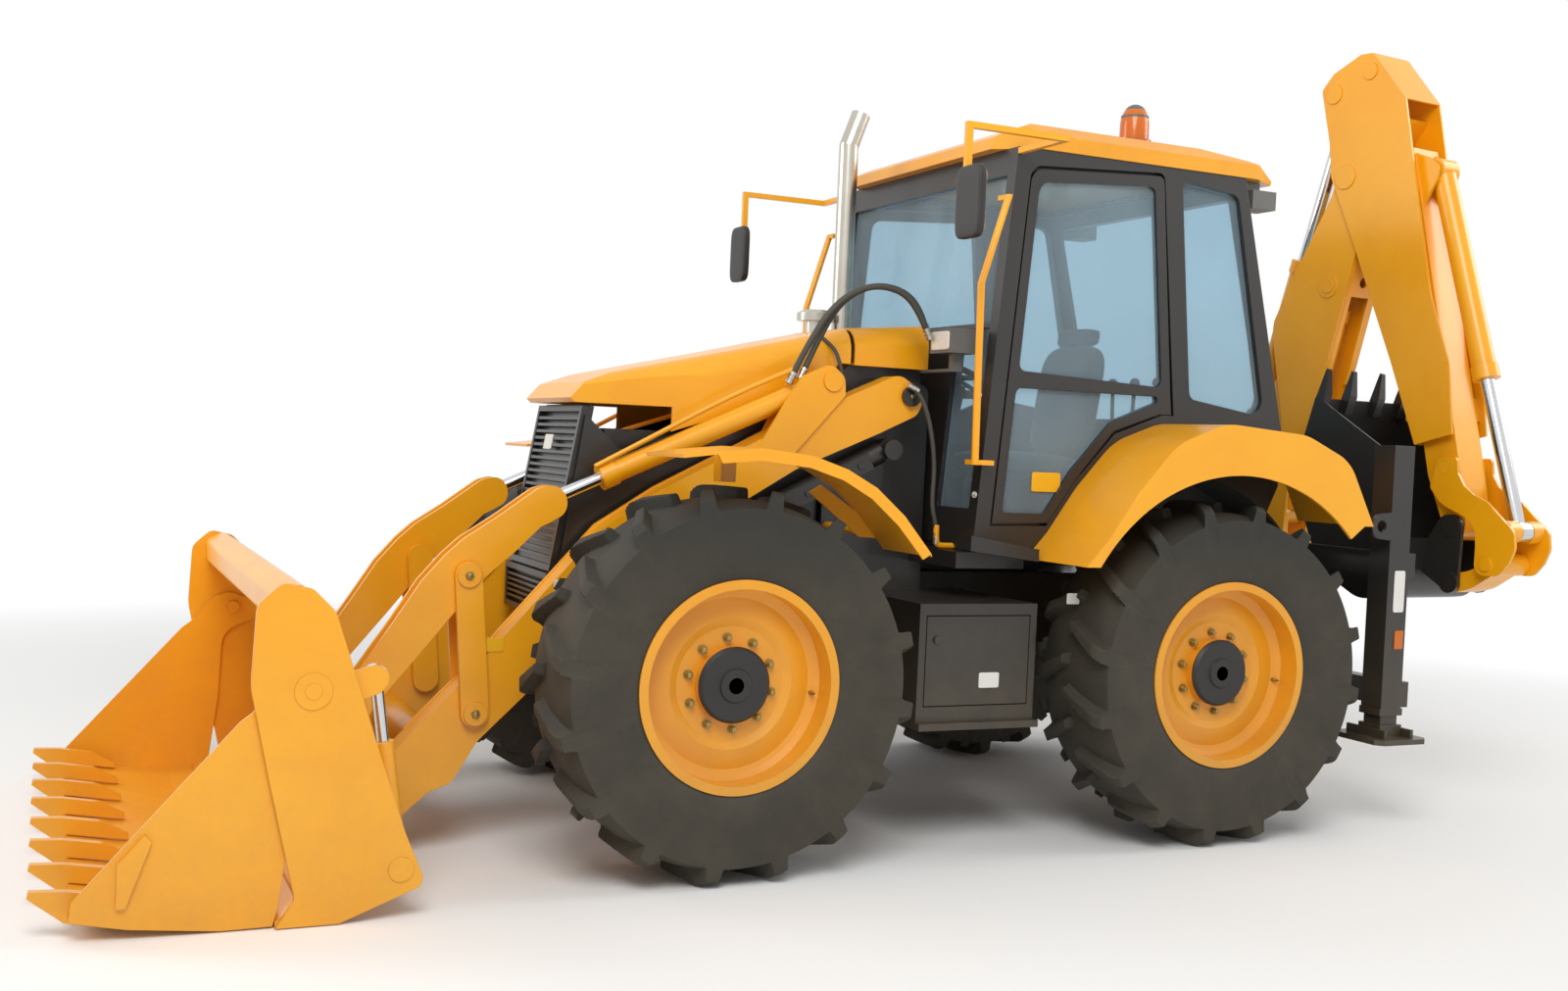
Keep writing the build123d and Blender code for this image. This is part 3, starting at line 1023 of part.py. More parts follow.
def dipper():
    """Outer dipper: two cheeks that straddle the boom, joined by a front web and a top plate."""
    inner = CHEEK_HALF - CHEEK
    cheek = [(264, 3387, 30), (331, 3457, 30), (492, 3522, 20), (562, 3518, 20), (763, 3271), (860, 2805),
             (960, 2347), (1075, 2030, 60), (1117, 1708), (920, 1655), (764, 2037), (509, 2609), (348, 2953, 80),
             (328, 3123, 200)]
    body = mirrored(cheek, inner, CHEEK_HALF)
    body += plate([(920, 1655), (764, 2037), (548, 2522), (560, 2527), (776, 2042), (932, 1660)],
                  -inner - 1, inner + 1)
    body += plate([(492, 3510), (560, 3506), (752, 3268), (763, 3271), (562, 3518), (492, 3522)],
                  -inner - 1, inner + 1)
    body += plate([(620, 3100), (700, 3200), (708, 3192), (628, 3092)], -inner - 1, inner + 1)
    for s in (330, 1420):
        pad = [along_rail(s, -30), along_rail(s, -188), along_rail(s + 110, -188), along_rail(s + 110, -30)]
        body += mirrored(pad, INNER_HALF + 0.3, inner + 1)
    shoe = [along_rail(1440, -194.3), along_rail(1440, -206), along_rail(1540, -206), along_rail(1540, -194.3)]
    body += plate(shoe, -INNER_HALF, INNER_HALF)
    web = [along_rail(1470, -205), along_rail(1470, -250), along_rail(1490, -250), along_rail(1490, -205)]
    body += plate(web, -inner - 1, inner + 1)
    body += round_bar(DIPPER_PIN, PIN_R, -CHEEK_HALF, CHEEK_HALF)
    for centre, radius in ((DIPPER_PIN, 60), (DIPPER_RAM_EYE, 48), ((555, 3432), 40)):
        for side in (-1, 1):
            lo, hi = sorted((side * (CHEEK_HALF - 1), side * (CHEEK_HALF + 6)))
            body += round_bar(centre, radius, lo, hi)
    for side in (-1, 1):
        lo, hi = sorted((side * 40, side * inner + side))
        body += round_bar(DIPPER_RAM_EYE, 42, lo, hi)
    return body


parts["dipper"] = POSED * dipper()


def inner_dipper():
    """Sliding box section with the bucket ram's lug and the nose that carries bucket and lever."""
    body = plate([along_rail(230, -24), along_rail(230, -194), along_rail(1760, -194), (1070, 1290), (1190, 1290),
                  along_rail(1850, -24)], -INNER_HALF, INNER_HALF)
    body += round_bar(DIG_PIN, 60, -INNER_HALF, INNER_HALF)
    lug = [along_rail(250, -30), along_rail(300, 40), along_rail(356, 92), along_rail(420, 60),
           along_rail(520, -30)]
    body += mirrored([lug[0], (*lug[1], 40), (*lug[2], 40), (*lug[3], 40), lug[4]], 59, 75)
    body += round_bar(BUCKET_RAM_BASE, PIN_R, -75, 75)
    body += round_bar(TIP_LEVER_PIN, 46, -LEVER_OUT[0] + 0.3, LEVER_OUT[0] - 0.3)
    body += round_bar(TIP_LEVER_PIN, PIN_R, -LEVER_OUT[1], LEVER_OUT[1])
    return body - round_bar(DIG_PIN, PIN_R + PIN_FIT, -200, 200)


EAR = (INNER_HALF + RUN_GAP, INNER_HALF + RUN_GAP + 18)          # bucket hanger plates
LEVER_OUT = (EAR[1] + RUN_GAP, EAR[1] + RUN_GAP + 16)
parts["inner_dipper"] = POSED * inner_dipper()


# ---------------------------------------------------------------- digging bucket and its linkage
def dig_bucket():
    """Toothed digging bucket: curved shell between side plates, with the two hanger plates."""
    rim = [(482, 1866), (418, 1656, 60), (440, 1310, 160), (560, 1050, 200), (800, 930, 160), (960, 960, 100)]
    shell = [(505, 1862), *rim, (1004, 1230), (988, 1230), (944, 975, 86), (798, 946, 146), (572, 1060, 186),
             (454, 1314, 148), (433, 1656, 48)]
    body = plate(shell, -DIG_HALF, DIG_HALF)
    side_view = [(505, 1862), *rim, (1004, 1230), (880, 1640)]
    body += mirrored(side_view, DIG_HALF - 12, DIG_HALF)
    hanger = [(978, 1080), (1131, 990), (1175, 1020, 30), (1185, 1290), (1180, 1345, 50), (1080, 1345, 60),
              (1000, 1220)]
    body += mirrored(hanger, *EAR)
    body += round_bar(DIG_PIN, PIN_R, -EAR[1] - 4, EAR[1] + 4)
    for side in (-1, 1):
        lo, hi = sorted((side * EAR[0], side * (EAR[1] + 4)))
        body += round_bar(DIG_PIN, 48, lo, hi) + round_bar(DIG_LINK_PIN, 48, lo, hi)
    for m in (-DIG_HALF + 26, -100, 100, DIG_HALF - 26):
        wedge = plate([(464, 1800), (486, 1870), (528, 2004), (542, 1998), (540, 1880), (512, 1790)], m - 26, m + 26)
        taper = [(-26, 1750), (26, 1750), (26, 1860), (11, 2010), (-11, 2010), (-26, 1860)]
        face = make_face(Polyline(*[Vector(400, m + dy, z) for dy, z in taper], close=True))
        body += wedge & extrude(face, amount=250, dir=(1, 0, 0))
    return body


parts["dig_bucket"] = POSED * dig_bucket()


def tip_lever():
    """Pair of S-shaped rocker plates on the dipper, with the tube that takes the ram's rod."""
    side_view = [(1057, 1602, 30), (1154, 1605, 20), (1164, 1532), (1200, 1476), (1251, 1439), (1322, 1411),
                 (1380, 1358), (1459, 1292, 60), (1470, 1215, 60), (1444, 1150), (1395, 1090, 50), (1272, 1085, 50),
                 (1274, 1213), (1268, 1275), (1243, 1319), (1200, 1344), (1107, 1381), (1071, 1403),
                 (1021, 1465, 20), (1032, 1510)]
    body = mirrored(side_view, *LEVER_OUT)
    for side in (-1, 1):
        lo, hi = sorted((side * 38, side * (LEVER_OUT[0] + 1)))
        body += round_bar(TIP_ROD_PIN, 50, lo, hi)
    body += round_bar(LEVER_LINK_PIN, PIN_R, -LEVER_OUT[1] - 8, LEVER_OUT[1] + 8)
    return body - round_bar(TIP_LEVER_PIN, PIN_R + PIN_FIT, -200, 200)


def tip_link():
    """Forged link from the lever's foot to the bucket, bowed below the dipper's end."""
    half = INNER_HALF - RUN_GAP
    body = plate([(1331, 1190, 40), (1385, 1137, 40), (1331, 1088, 60), (1230, 1020, 200), (1131, 990, 40),
                  (1085, 1039, 40), (1131, 1084, 60), (1230, 1095, 200)], -half, half)
    body -= plate([(1272, 1110, 20), (1250, 1050, 20), (1190, 1030, 20), (1195, 1075, 20)], -half + 20, half - 20)
    body += round_bar(LEVER_LINK_PIN, 50, -LEVER_OUT[0] + 1, LEVER_OUT[0] - 1)
    return body - round_bar(LEVER_LINK_PIN, PIN_R + PIN_FIT, -200, 200)


parts["tip_lever"] = POSED * tip_lever()
parts["tip_link"] = POSED * tip_link()

# ---------------------------------------------------------------- backhoe rams
for name, base, eye, bore_r, rod_r, barrel_len, inside, half, rod_half in (
        ("boom_ram", BOOM_RAM_BASE, BOOM_RAM_EYE, 54, 35, 1060, 930, 56, 56),
        ("dipper_ram", DIPPER_RAM_BASE, DIPPER_RAM_EYE, 56, 34, 830, 90, 58, 34),
        ("bucket_ram", BUCKET_RAM_BASE, TIP_ROD_PIN, 52, 32, 1020, 400, 54, 34)):
    barrel, rod = ram(base, eye, bore_r, rod_r, barrel_len, inside, 48, half, rod_half)
    parts[name + "_barrel"] = POSED * barrel
    parts[name + "_rod"] = POSED * rod

# ---------------------------------------------------------------- common origin and export
boxes = [s.bounding_box() for piece in parts.values() for s in (piece if isinstance(piece, list) else [piece])]
low = [min(b.min.X for b in boxes), min(b.min.Y for b in boxes), min(b.min.Z for b in boxes)]
high = [max(b.max.X for b in boxes), max(b.max.Y for b in boxes), max(b.max.Z for b in boxes)]
SHIFT = (-(low[0] + high[0]) / 2, -(low[1] + high[1]) / 2, -low[2])
for name, piece in parts.items():
    shape = Compound(children=list(piece)) if isinstance(piece, list) else piece
    export_step(Pos(*SHIFT) * shape, f"parts/{name}.step")
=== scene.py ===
"""Backhoe loader with four equal steered wheels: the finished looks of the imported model.

The solids come from the frame as they are.  This script gives every one its finish and
adds what sits on them: tyre covers, hubs and nuts, hoses, pipes, bolts, lamps' lenses,
mirrors' faces, blank plates and the upholstery.  Sizes are in millimetres from the
machine's datum, which at() turns to metres in the frame; lights and floor are in metres.
"""

import bmesh
import bpy
import numpy as np
from mathutils import Matrix, Vector


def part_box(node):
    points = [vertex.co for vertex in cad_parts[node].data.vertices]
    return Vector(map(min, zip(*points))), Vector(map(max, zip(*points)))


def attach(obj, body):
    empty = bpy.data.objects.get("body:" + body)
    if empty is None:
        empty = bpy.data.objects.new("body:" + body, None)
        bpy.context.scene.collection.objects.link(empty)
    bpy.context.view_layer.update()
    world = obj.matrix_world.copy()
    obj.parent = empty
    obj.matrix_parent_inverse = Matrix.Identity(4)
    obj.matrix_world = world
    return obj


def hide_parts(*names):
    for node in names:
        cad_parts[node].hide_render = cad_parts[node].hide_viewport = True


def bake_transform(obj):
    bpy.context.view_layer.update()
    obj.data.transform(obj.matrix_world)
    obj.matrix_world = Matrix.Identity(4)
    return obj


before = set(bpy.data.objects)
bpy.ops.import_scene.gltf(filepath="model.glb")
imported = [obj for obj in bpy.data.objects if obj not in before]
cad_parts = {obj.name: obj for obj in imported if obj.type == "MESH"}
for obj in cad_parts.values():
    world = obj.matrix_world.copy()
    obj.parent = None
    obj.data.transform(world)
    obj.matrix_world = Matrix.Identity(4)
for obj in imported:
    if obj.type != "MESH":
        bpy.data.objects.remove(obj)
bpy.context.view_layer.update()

# ------------------------------------------------------------------ camera, floor and light
# A pale studio: one floor that fades to white, a large soft key lamp high on the left of
# the machine, two weaker lamps ahead on its right and behind it, and an even white surround.
AXLE_Z = 668
hubs = [np.mean(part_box(name), axis=0) for name in ("rim_front_left", "rim_rear_right")]
DATUM = np.mean(hubs, axis=0) - (0, 0, AXLE_Z / 1000)      # half way between the axles, below them


def at(*points):
    """Points measured from the machine's datum, in millimetres, as metres in the frame."""
    return np.array(points, float) / 1000 + DATUM


# The camera stands at eye height off the left front corner, level to within three degrees
YAW, PITCH, ROLL = np.radians((24.922, -1.818, 2.5455))
ahead = np.array((-np.sin(YAW) * np.cos(PITCH), -np.cos(YAW) * np.cos(PITCH), np.sin(PITCH)))
level = np.array((-np.cos(YAW), np.sin(YAW), 0))
upright = np.cross(level, ahead)
right = np.cos(ROLL) * level + np.sin(ROLL) * upright
top = np.cos(ROLL) * upright - np.sin(ROLL) * level
lens = bpy.data.cameras.new("camera")
lens.lens, lens.sensor_width, lens.sensor_fit = 36.47, 36, "HORIZONTAL"
camera = bpy.data.objects.new("camera", lens)
bpy.context.scene.collection.objects.link(camera)
turn = Matrix(np.stack([right, top, -ahead], axis=1).tolist()).to_4x4()
camera.matrix_world = Matrix.Translation(at(3313, 6210, 1525).tolist()) @ turn
bpy.context.scene.camera = camera
bpy.context.scene.view_settings.view_transform = "Standard"


def colour(code):
    """An sRGB hex colour as the linear values that a socket holds."""
    part = np.array([int(code[i:i + 2], 16) for i in (0, 2, 4)]) / 255
    linear = np.where(part <= 0.04045, part / 12.92, ((part + 0.055) / 1.055) ** 2.4)
    return (*linear.tolist(), 1.0)


def add(tree, kind, inputs=(), **settings):
    """Adds one node with its settings; an input given a socket is linked, else it is set."""
    made = tree.nodes.new("ShaderNode" + kind)
    for name, value in settings.items():
        setattr(made, name, value)
    for place, value in dict(inputs).items():
        if isinstance(value, bpy.types.NodeSocket):
            tree.links.new(value, made.inputs[place])
        else:
            made.inputs[place].default_value = value
    return made


def grid(rows, columns, rows_closed=False, columns_closed=False):
    """Corner numbers of the quads between neighbours on a grid, wrapped where it is closed."""
    i, j = np.meshgrid(np.arange(rows if rows_closed else rows - 1),
                       np.arange(columns if columns_closed else columns - 1), indexing="ij")
    a, b = i * columns + j, i * columns + (j + 1) % columns
    below = (i + 1) % rows * columns
    return np.stack([a, b, below + (j + 1) % columns, below + j], axis=-1).reshape(-1, 4)


FLOOR_RINGS, FLOOR_SPOKES, FLOOR_REACH = 40, 72, 60
floor_mesh = bpy.data.meshes.new("floor")
ring_r = np.linspace(0.01, FLOOR_REACH, FLOOR_RINGS)
ring_t = np.linspace(0, 2 * np.pi, FLOOR_SPOKES, endpoint=False)
r, t = np.meshgrid(ring_r, ring_t, indexing="ij")
spread = np.stack([r * np.cos(t), r * np.sin(t), 0 * r], -1).reshape(-1, 3)
rings = grid(FLOOR_RINGS, FLOOR_SPOKES, columns_closed=True)[:, ::-1]
floor_mesh.from_pydata(spread.tolist(), [], rings.tolist())
floor = bpy.data.objects.new("floor", floor_mesh)
bpy.context.scene.collection.objects.link(floor)
studio = bpy.data.materials.new("studio_floor_paint")
studio.use_nodes = True
tree = studio.node_tree
paint = tree.nodes["Principled BSDF"]
paint.inputs["Base Color"].default_value = colour("f4f4f2")
paint.inputs["Roughness"].default_value = 0.8
spot = add(tree, "TexCoord").outputs["Object"]
# beyond the shadow the paint gives way to plain white, so that no horizon shows
reach = add(tree, "VectorMath", {0: spot}, operation="LENGTH").outputs["Value"]
fade = add(tree, "MapRange", {"Value": reach, "From Min": 4.5, "From Max": 8.5}).outputs["Result"]
white = add(tree, "Emission", {"Color": (1, 1, 1, 1), "Strength": 1.0}).outputs[0]
mixed = add(tree, "MixShader", {0: fade, 1: paint.outputs[0], 2: white})
tree.links.new(mixed.outputs[0], tree.nodes["Material Output"].inputs["Surface"])
floor_mesh.materials.append(studio)

world = bpy.data.worlds.new("studio_surround")
bpy.context.scene.world = world
world.use_nodes = True
tree = world.node_tree
# The surround is plain white to the eye, in metal and through glass, and dimmer as a light
ray = add(tree, "LightPath").outputs
shown = ray["Is Camera Ray"]
for kind in ("Is Transmission Ray", "Is Glossy Ray"):
    shown = add(tree, "Math", {0: shown, 1: ray[kind]}, operation="MAXIMUM").outputs[0]
strength = add(tree, "MapRange", {"Value": shown, "To Min": 0.47, "To Max": 1.0}).outputs["Result"]
sky = tree.nodes["Background"]
sky.inputs["Color"].default_value = (1, 1, 1, 1)
tree.links.new(strength, sky.inputs["Strength"])

# name, place, aimed at, size, watts
for name, place, target, size, watts in (("key", (3.5, 6.5, 7.5), (0, 0, 1), 5.0, 500),
                                         ("fill", (7.0, -3.0, 4.5), (0, 0, 1), 4.0, 150),
                                         ("back", (-7.0, 2.0, 5.0), (0, 0, 1.5), 4.0, 170)):
    lamp = bpy.data.lights.new(name, "AREA")
    lamp.shape, lamp.size, lamp.energy = "DISK", size, watts
    holder = bpy.data.objects.new(name, lamp)
    away = Vector(place) - Vector(target)
    holder.matrix_world = Matrix.Translation(place) @ away.to_track_quat("Z", "Y").to_matrix().to_4x4()
    bpy.context.scene.collection.objects.link(holder)

# ------------------------------------------------------------------ sprayed steel
# Plates and castings are shot-blasted and sprayed with a two-pack enamel.  The film is
# thick and glossy, with a faint orange peel, and dust dulls it low down on the machine.
# The three rear ram barrels, the tilt and the clam barrels are sprayed with the arms.


def enamel(name, shade, deep, rough, dust, peel_mm=3.0):
    """Sprayed enamel: the eye sees a wet film, slightly deeper in patches, and dull dust below."""
    look = bpy.data.materials.new(name)
    look.use_nodes = True
    tree = look.node_tree
    face = tree.nodes["Principled BSDF"]
    where = add(tree, "TexCoord").outputs["Object"]
    film = add(tree, "TexNoise", {"Vector": where, "Scale": 2.2, "Detail": 5.0, "Roughness": 0.6})
    patch = add(tree, "MapRange", {"Value": film.outputs["Fac"], "From Min": 0.35, "From Max": 0.75})
    patch = patch.outputs["Result"]
    base = add(tree, "Mix", {0: patch, 6: colour(shade), 7: colour(deep)}, data_type="RGBA").outputs[2]
    height = add(tree, "SeparateXYZ", {0: where}).outputs["Z"]
    low = add(tree, "MapRange", {"Value": height, "From Min": 1.1, "From Max": 0.1, "To Max": dust})
    specks = add(tree, "TexNoise", {"Vector": where, "Scale": 9.0, "Detail": 8.0, "Roughness": 0.75})
    grime = {0: specks.outputs["Fac"], 1: low.outputs["Result"]}
    grime = add(tree, "Math", grime, operation="MULTIPLY").outputs[0]
    dusty = add(tree, "Mix", {0: grime, 6: base, 7: colour("8f7a55")}, data_type="RGBA").outputs[2]
    tree.links.new(dusty, face.inputs["Base Color"])
    dull = add(tree, "MapRange", {"Value": grime, "To Min": rough, "To Max": 0.75}).outputs["Result"]
    tree.links.new(dull, face.inputs["Roughness"])
    peel = add(tree, "TexNoise", {"Vector": where, "Scale": 1000 / peel_mm, "Detail": 2.0}).outputs["Fac"]
    edge = add(tree, "Bevel", {"Radius": 0.003}, samples=3).outputs["Normal"]
    bump = add(tree, "Bump", {"Height": peel, "Strength": 0.04, "Distance": 0.001, "Normal": edge})
    tree.links.new(bump.outputs["Normal"], face.inputs["Normal"])
    face.inputs["Coat Weight"].default_value = 0.25
    face.inputs["Coat Roughness"].default_value = 0.12
    face.inputs["IOR"].default_value = 1.5
    return look


YELLOW = enamel("chrome_yellow_enamel", "f6ac0c", "ee9f08", 0.34, 0.35)
DEEP_YELLOW = enamel("rim_yellow_enamel", "eda214", "e0930e", 0.36, 0.5)
BLACK = enamel("chassis_black_enamel", "1d1b19", "262320", 0.42, 0.45)


def dress(look, *names):
    """Gives solids of the frame their finish."""
    for name in names:
        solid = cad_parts[name]
        solid.data.materials.clear()
        solid.data.materials.append(look)


CORNERS = [f"{end}_{hand}" for end in ("front", "rear") for hand in ("left", "right")]
dress(YELLOW, "bonnet", "cowl", "fenders", "loader_arms", "bucket_levers", "long_links",
      "front_bucket", "front_jaw", "boom", "dipper", "inner_dipper", "tip_link", "tip_lever",
      "tilt_barrels", "clam_barrels", "boom_ram_barrel", "dipper_ram_barrel", "bucket_ram_barrel",
      "kingpost", "mirrors_and_rails")
dress(DEEP_YELLOW, "cab_roof", *[f"rim_{corner}" for corner in CORNERS])
dress(BLACK, "chassis_frame", "axles", "engine_block", "engine_covers", "side_boxes", "locker_door",
      "cab_frame", "door_left", "door_right", "carriage", "stabiliser_left", "stabiliser_right",
      "dig_bucket", "lift_barrels", *[f"knuckle_{corner}" for corner in CORNERS])

# ------------------------------------------------------------------ mouldings, metals and glass
# Everything that isn't sprayed: vulcanised rubber, moulded plastics, bare and plated metals
# and the tinted safety glass.  All but the glass take one recipe, with the surface's own grain.


def stuff(name, shade, second, rough, grain_mm, relief_mm=0.05, dust=0.0, **sockets):
    """A surface of two close shades in patches, with its grain as relief and as changing gloss."""
    look = bpy.data.materials.new(name)
    look.use_nodes = True
    tree = look.node_tree
    face = tree.nodes["Principled BSDF"]
    where = add(tree, "TexCoord").outputs["Object"]
    patch = add(tree, "TexNoise", {"Vector": where, "Scale": 6.0, "Detail": 6.0, "Roughness": 0.65})
    patch = patch.outputs["Fac"]
    base = add(tree, "Mix", {0: patch, 6: colour(shade), 7: colour(second)}, data_type="RGBA").outputs[2]
    if dust:
        height = add(tree, "SeparateXYZ", {0: where}).outputs["Z"]
        low = add(tree, "MapRange", {"Value": height, "From Min": 1.3, "To Max": dust}).outputs["Result"]
        veil = add(tree, "Math", {0: patch, 1: low}, operation="MULTIPLY").outputs[0]
        base = add(tree, "Mix", {0: veil, 6: base, 7: colour("7d6f58")}, data_type="RGBA").outputs[2]
    tree.links.new(base, face.inputs["Base Color"])
    grain = add(tree, "TexNoise", {"Vector": where, "Scale": 1000 / grain_mm, "Detail": 3.0}).outputs["Fac"]
    gloss = add(tree, "MapRange", {"Value": grain, "To Min": rough - 0.06, "To Max": rough + 0.08})
    tree.links.new(gloss.outputs["Result"], face.inputs["Roughness"])
    bump = add(tree, "Bump", {"Height": grain, "Strength": 0.35, "Distance": relief_mm / 1000})
    tree.links.new(bump.outputs["Normal"], face.inputs["Normal"])
    for socket, value in sockets.items():
        face.inputs[socket.replace("_", " ")].default_value = value
    return look


# Carbon-black rubber is matt and slightly brown where it has been driven
RUBBER = stuff("vulcanised_rubber", "1f1e18", "28261e", 0.72, 5.0, 0.3, dust=0.22, IOR=1.52)
HOSE = stuff("braided_hose_rubber", "35332c", "454238", 0.6, 1.5, 0.2, IOR=1.52)
# Moulded polypropylene has a fine leather-like grain and goes grey in the sun
PLASTIC = stuff("moulded_black_plastic", "1f1e1c", "2b2a28", 0.5, 2.0, 0.1, IOR=1.49)
GREY_PLASTIC = stuff("moulded_grey_plastic", "5b5a56", "6b6a65", 0.48, 2.0, 0.1, IOR=1.49)
# Hard chrome on ground rods is nearly a mirror; the stainless stack is brushed, a warm grey
CHROME = stuff("hard_chrome", "d9dadb", "c4c6c9", 0.14, 8.0, 0.01, Metallic=1.0)
STAINLESS = stuff("brushed_stainless", "cfcabf", "b3ada1", 0.24, 3.0, 0.03, Metallic=1.0)
# Zinc plate with a yellow passivation shows as a soft straw colour, without it as a pale metal
ZINC = stuff("yellow_zinc_plate", "b39a5c", "8f7c4c", 0.38, 4.0, 0.05, Metallic=1.0)
BRIGHT_ZINC = stuff("bright_zinc_plate", "c9c7c0", "a9a79f", 0.32, 4.0, 0.05, Metallic=1.0)
# Glass silvered on its back shows as the silver alone
MIRROR = stuff("silvered_glass", "e6e9ea", "dfe3e5", 0.08, 60.0, 0.001, Metallic=1.0)
# Blank vinyl plates: smooth film with a slight waviness from the steel under it
WHITE_VINYL = stuff("white_vinyl_film", "e9e8e2", "dddbd3", 0.35, 12.0, 0.05, IOR=1.54)
YELLOW_VINYL = stuff("yellow_vinyl_film", "f2b81c", "e8ab12", 0.35, 12.0, 0.05, IOR=1.54)
# Prismatic reflectors and lamp lenses are clear or dyed acrylic over a bright back
AMBER = stuff("amber_acrylic", "ff8a12", "f2760a", 0.12, 9.0, 0.05, IOR=1.49, Transmission_Weight=0.35)
RED_LENS = stuff("red_acrylic", "b01a12", "8e120d", 0.14, 9.0, 0.05, IOR=1.49, Transmission_Weight=0.2)
CLEAR_LENS = stuff("clear_prismatic_acrylic", "e9e6dc", "d3cfc2", 0.12, 14.0, 1.2, IOR=1.49,
                   Coat_Weight=0.5)
# Polyester cloth is dark and matt; its threads are too fine to show, so it has a mottled grain
# of 1.6 mm in their place
CLOTH = stuff("woven_seat_cloth", "2f2f31", "3c3c3f", 0.86, 1.6, 0.4, IOR=1.45, Sheen_Weight=0.35)

# Safety glass, 6 mm float with a faint blue tint: clear in front, pale by reflection
GLASS = bpy.data.materials.new("tinted_safety_glass")
GLASS.use_nodes = True
tree = GLASS.node_tree
face = tree.nodes["Principled BSDF"]
face.inputs["IOR"].default_value = 1.52
face.inputs["Roughness"].default_value = 0.02
face.inputs["Base Color"].default_value = colour("cfe2ec")
where = add(tree, "TexCoord").outputs["Object"]
film = add(tree, "TexNoise", {"Vector": where, "Scale": 1.6, "Detail": 6.0}).outputs["Fac"]
span = {"Value": film, "From Min": 0.3, "From Max": 0.8, "To Min": 0.8, "To Max": 0.9}
haze = add(tree, "MapRange", span).outputs[0]
through = add(tree, "BsdfTransparent", {"Color": colour("e2eff5")}).outputs[0]
pane = add(tree, "MixShader", {0: haze, 1: face.outputs[0], 2: through}).outputs[0]
tree.links.new(pane, tree.nodes["Material Output"].inputs["Surface"])

dress(GLASS, "cab_glass", "door_glass_left", "door_glass_right")
dress(CHROME, "tilt_rods", "lift_rods", "clam_rods", "boom_ram_rod", "dipper_ram_rod", "bucket_ram_rod")
dress(PLASTIC, "cab_controls")
dress(GREY_PLASTIC, "lamps")
dress(STAINLESS, "exhaust_and_cleaner")


# ------------------------------------------------------------------ tyres
# Radial carcass of bonded rubber with two rows of slanted lugs moulded on the tread; they
# run out over the shoulders.  It is pressed on the rim by its beads.
FRONT_X = 2170 / 2
TYRE_Y = 950               # middle of the tyre from the centreline
TYRE_R = 699.8             # to the tips of the lugs
HALF_WIDE = 215
BEAD_R = 379
LUGS = 16
LUG_TALL = 40
LUG_FLANK = 9
tyre_turn = np.linspace(0, 2 * np.pi, LUGS * 40, endpoint=False)
tyre_span = np.interp(np.linspace(0, 1, 57), (0, 0.16, 0.84, 1), (-HALF_WIDE, -150, 150, HALF_WIDE))


def piece(mesh, look, body=None, smooth=35):
    """A new object of the scene in one material, its faces turned outward, riding on its body."""
    shaped = bmesh.new()
    shaped.from_mesh(mesh)
    bmesh.ops.remove_doubles(shaped, verts=shaped.verts, dist=1e-6)
    bmesh.ops.recalc_face_normals(shaped, faces=shaped.faces)
    shaped.to_mesh(mesh)
    shaped.free()
    mesh.materials.append(look)
    mesh.shade_smooth()
    mesh.set_sharp_from_angle(angle=np.radians(smooth))
    made = bpy.data.objects.new(mesh.name, mesh)
    bpy.context.scene.collection.objects.link(made)
    if body:
        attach(made, body)
    return made


def tread():
    """Radius over angle and span: a crowned carcass plus lugs, each a slanted bar.

    A lug's height is the product of two smooth steps, along the tread within its bar and
    from the middle line outwards, and it fades down the shoulder.
    """
    turn, span = np.meshgrid(tyre_turn, tyre_span, indexing="ij")
    out = np.abs(span)
    crown = TYRE_R - LUG_TALL - 30 * np.clip((out - 60) / 155, 0, 1) ** 2.2
    row = np.sign(span + 1e-6)
    slant = 6 + (out + 6) * 0.48
    half = 26 + out * 0.045
    step = 2 * np.pi / LUGS
    pitch = step * TYRE_R
    along = ((turn - 0.25 * row * step) % step - step / 2) * TYRE_R + step / 2 * TYRE_R
    gap = np.abs((along - slant + pitch / 2) % pitch - pitch / 2)
    flank = np.clip((half - gap) / LUG_FLANK, 0, 1)
    flank = flank * flank * (3 - 2 * flank)
    end = np.clip((out + 6) / 8, 0, 1)
    height = TYRE_R - crown - 24 * np.clip((out - 165) / 50, 0, 1) ** 2
    return crown + flank * end * height


def tyre(name, x, side):
    """The tread's grid between two sidewalls, each a bowed line down to the bead with a fine rib."""
    radius = tread()
    wall = np.linspace(0, 1, 14)[1:]
    edge = radius[:, -1:]
    down = edge + (BEAD_R - edge) * wall
    rib = 4 * np.exp(-((down - 402) / 6) ** 2)
    tuck = 33 * np.clip((520 - down) / 141, 0, 1) ** 2
    bow = HALF_WIDE - tuck - 6 * np.sin(np.pi * wall) ** 2 + rib
    r = np.concatenate([down[:, ::-1], radius, down], axis=1)
    across = np.broadcast_to(tyre_span, radius.shape)
    y = side * np.concatenate([-bow[:, ::-1], across, bow], axis=1)
    t = np.broadcast_to(tyre_turn[:, None], r.shape)
    spots = np.stack([x + r * np.sin(t), side * TYRE_Y + y, AXLE_Z + r * np.cos(t)], -1)
    mesh = bpy.data.meshes.new(name)
    mesh.from_pydata(at(*spots.reshape(-1, 3)).tolist(), [], grid(*r.shape, True, True).tolist())
    return piece(mesh, RUBBER)


WHEELS = [(f"{end}_{hand}", x, side) for end, x in (("front", FRONT_X), ("rear", -FRONT_X))
          for hand, side in (("left", 1), ("right", -1))]
for corner, x, side in WHEELS:
    made = tyre(f"tyre_cover_{corner}", x, side)
    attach(made, f"wheel_{corner}")
    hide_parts(f"tyre_{corner}")

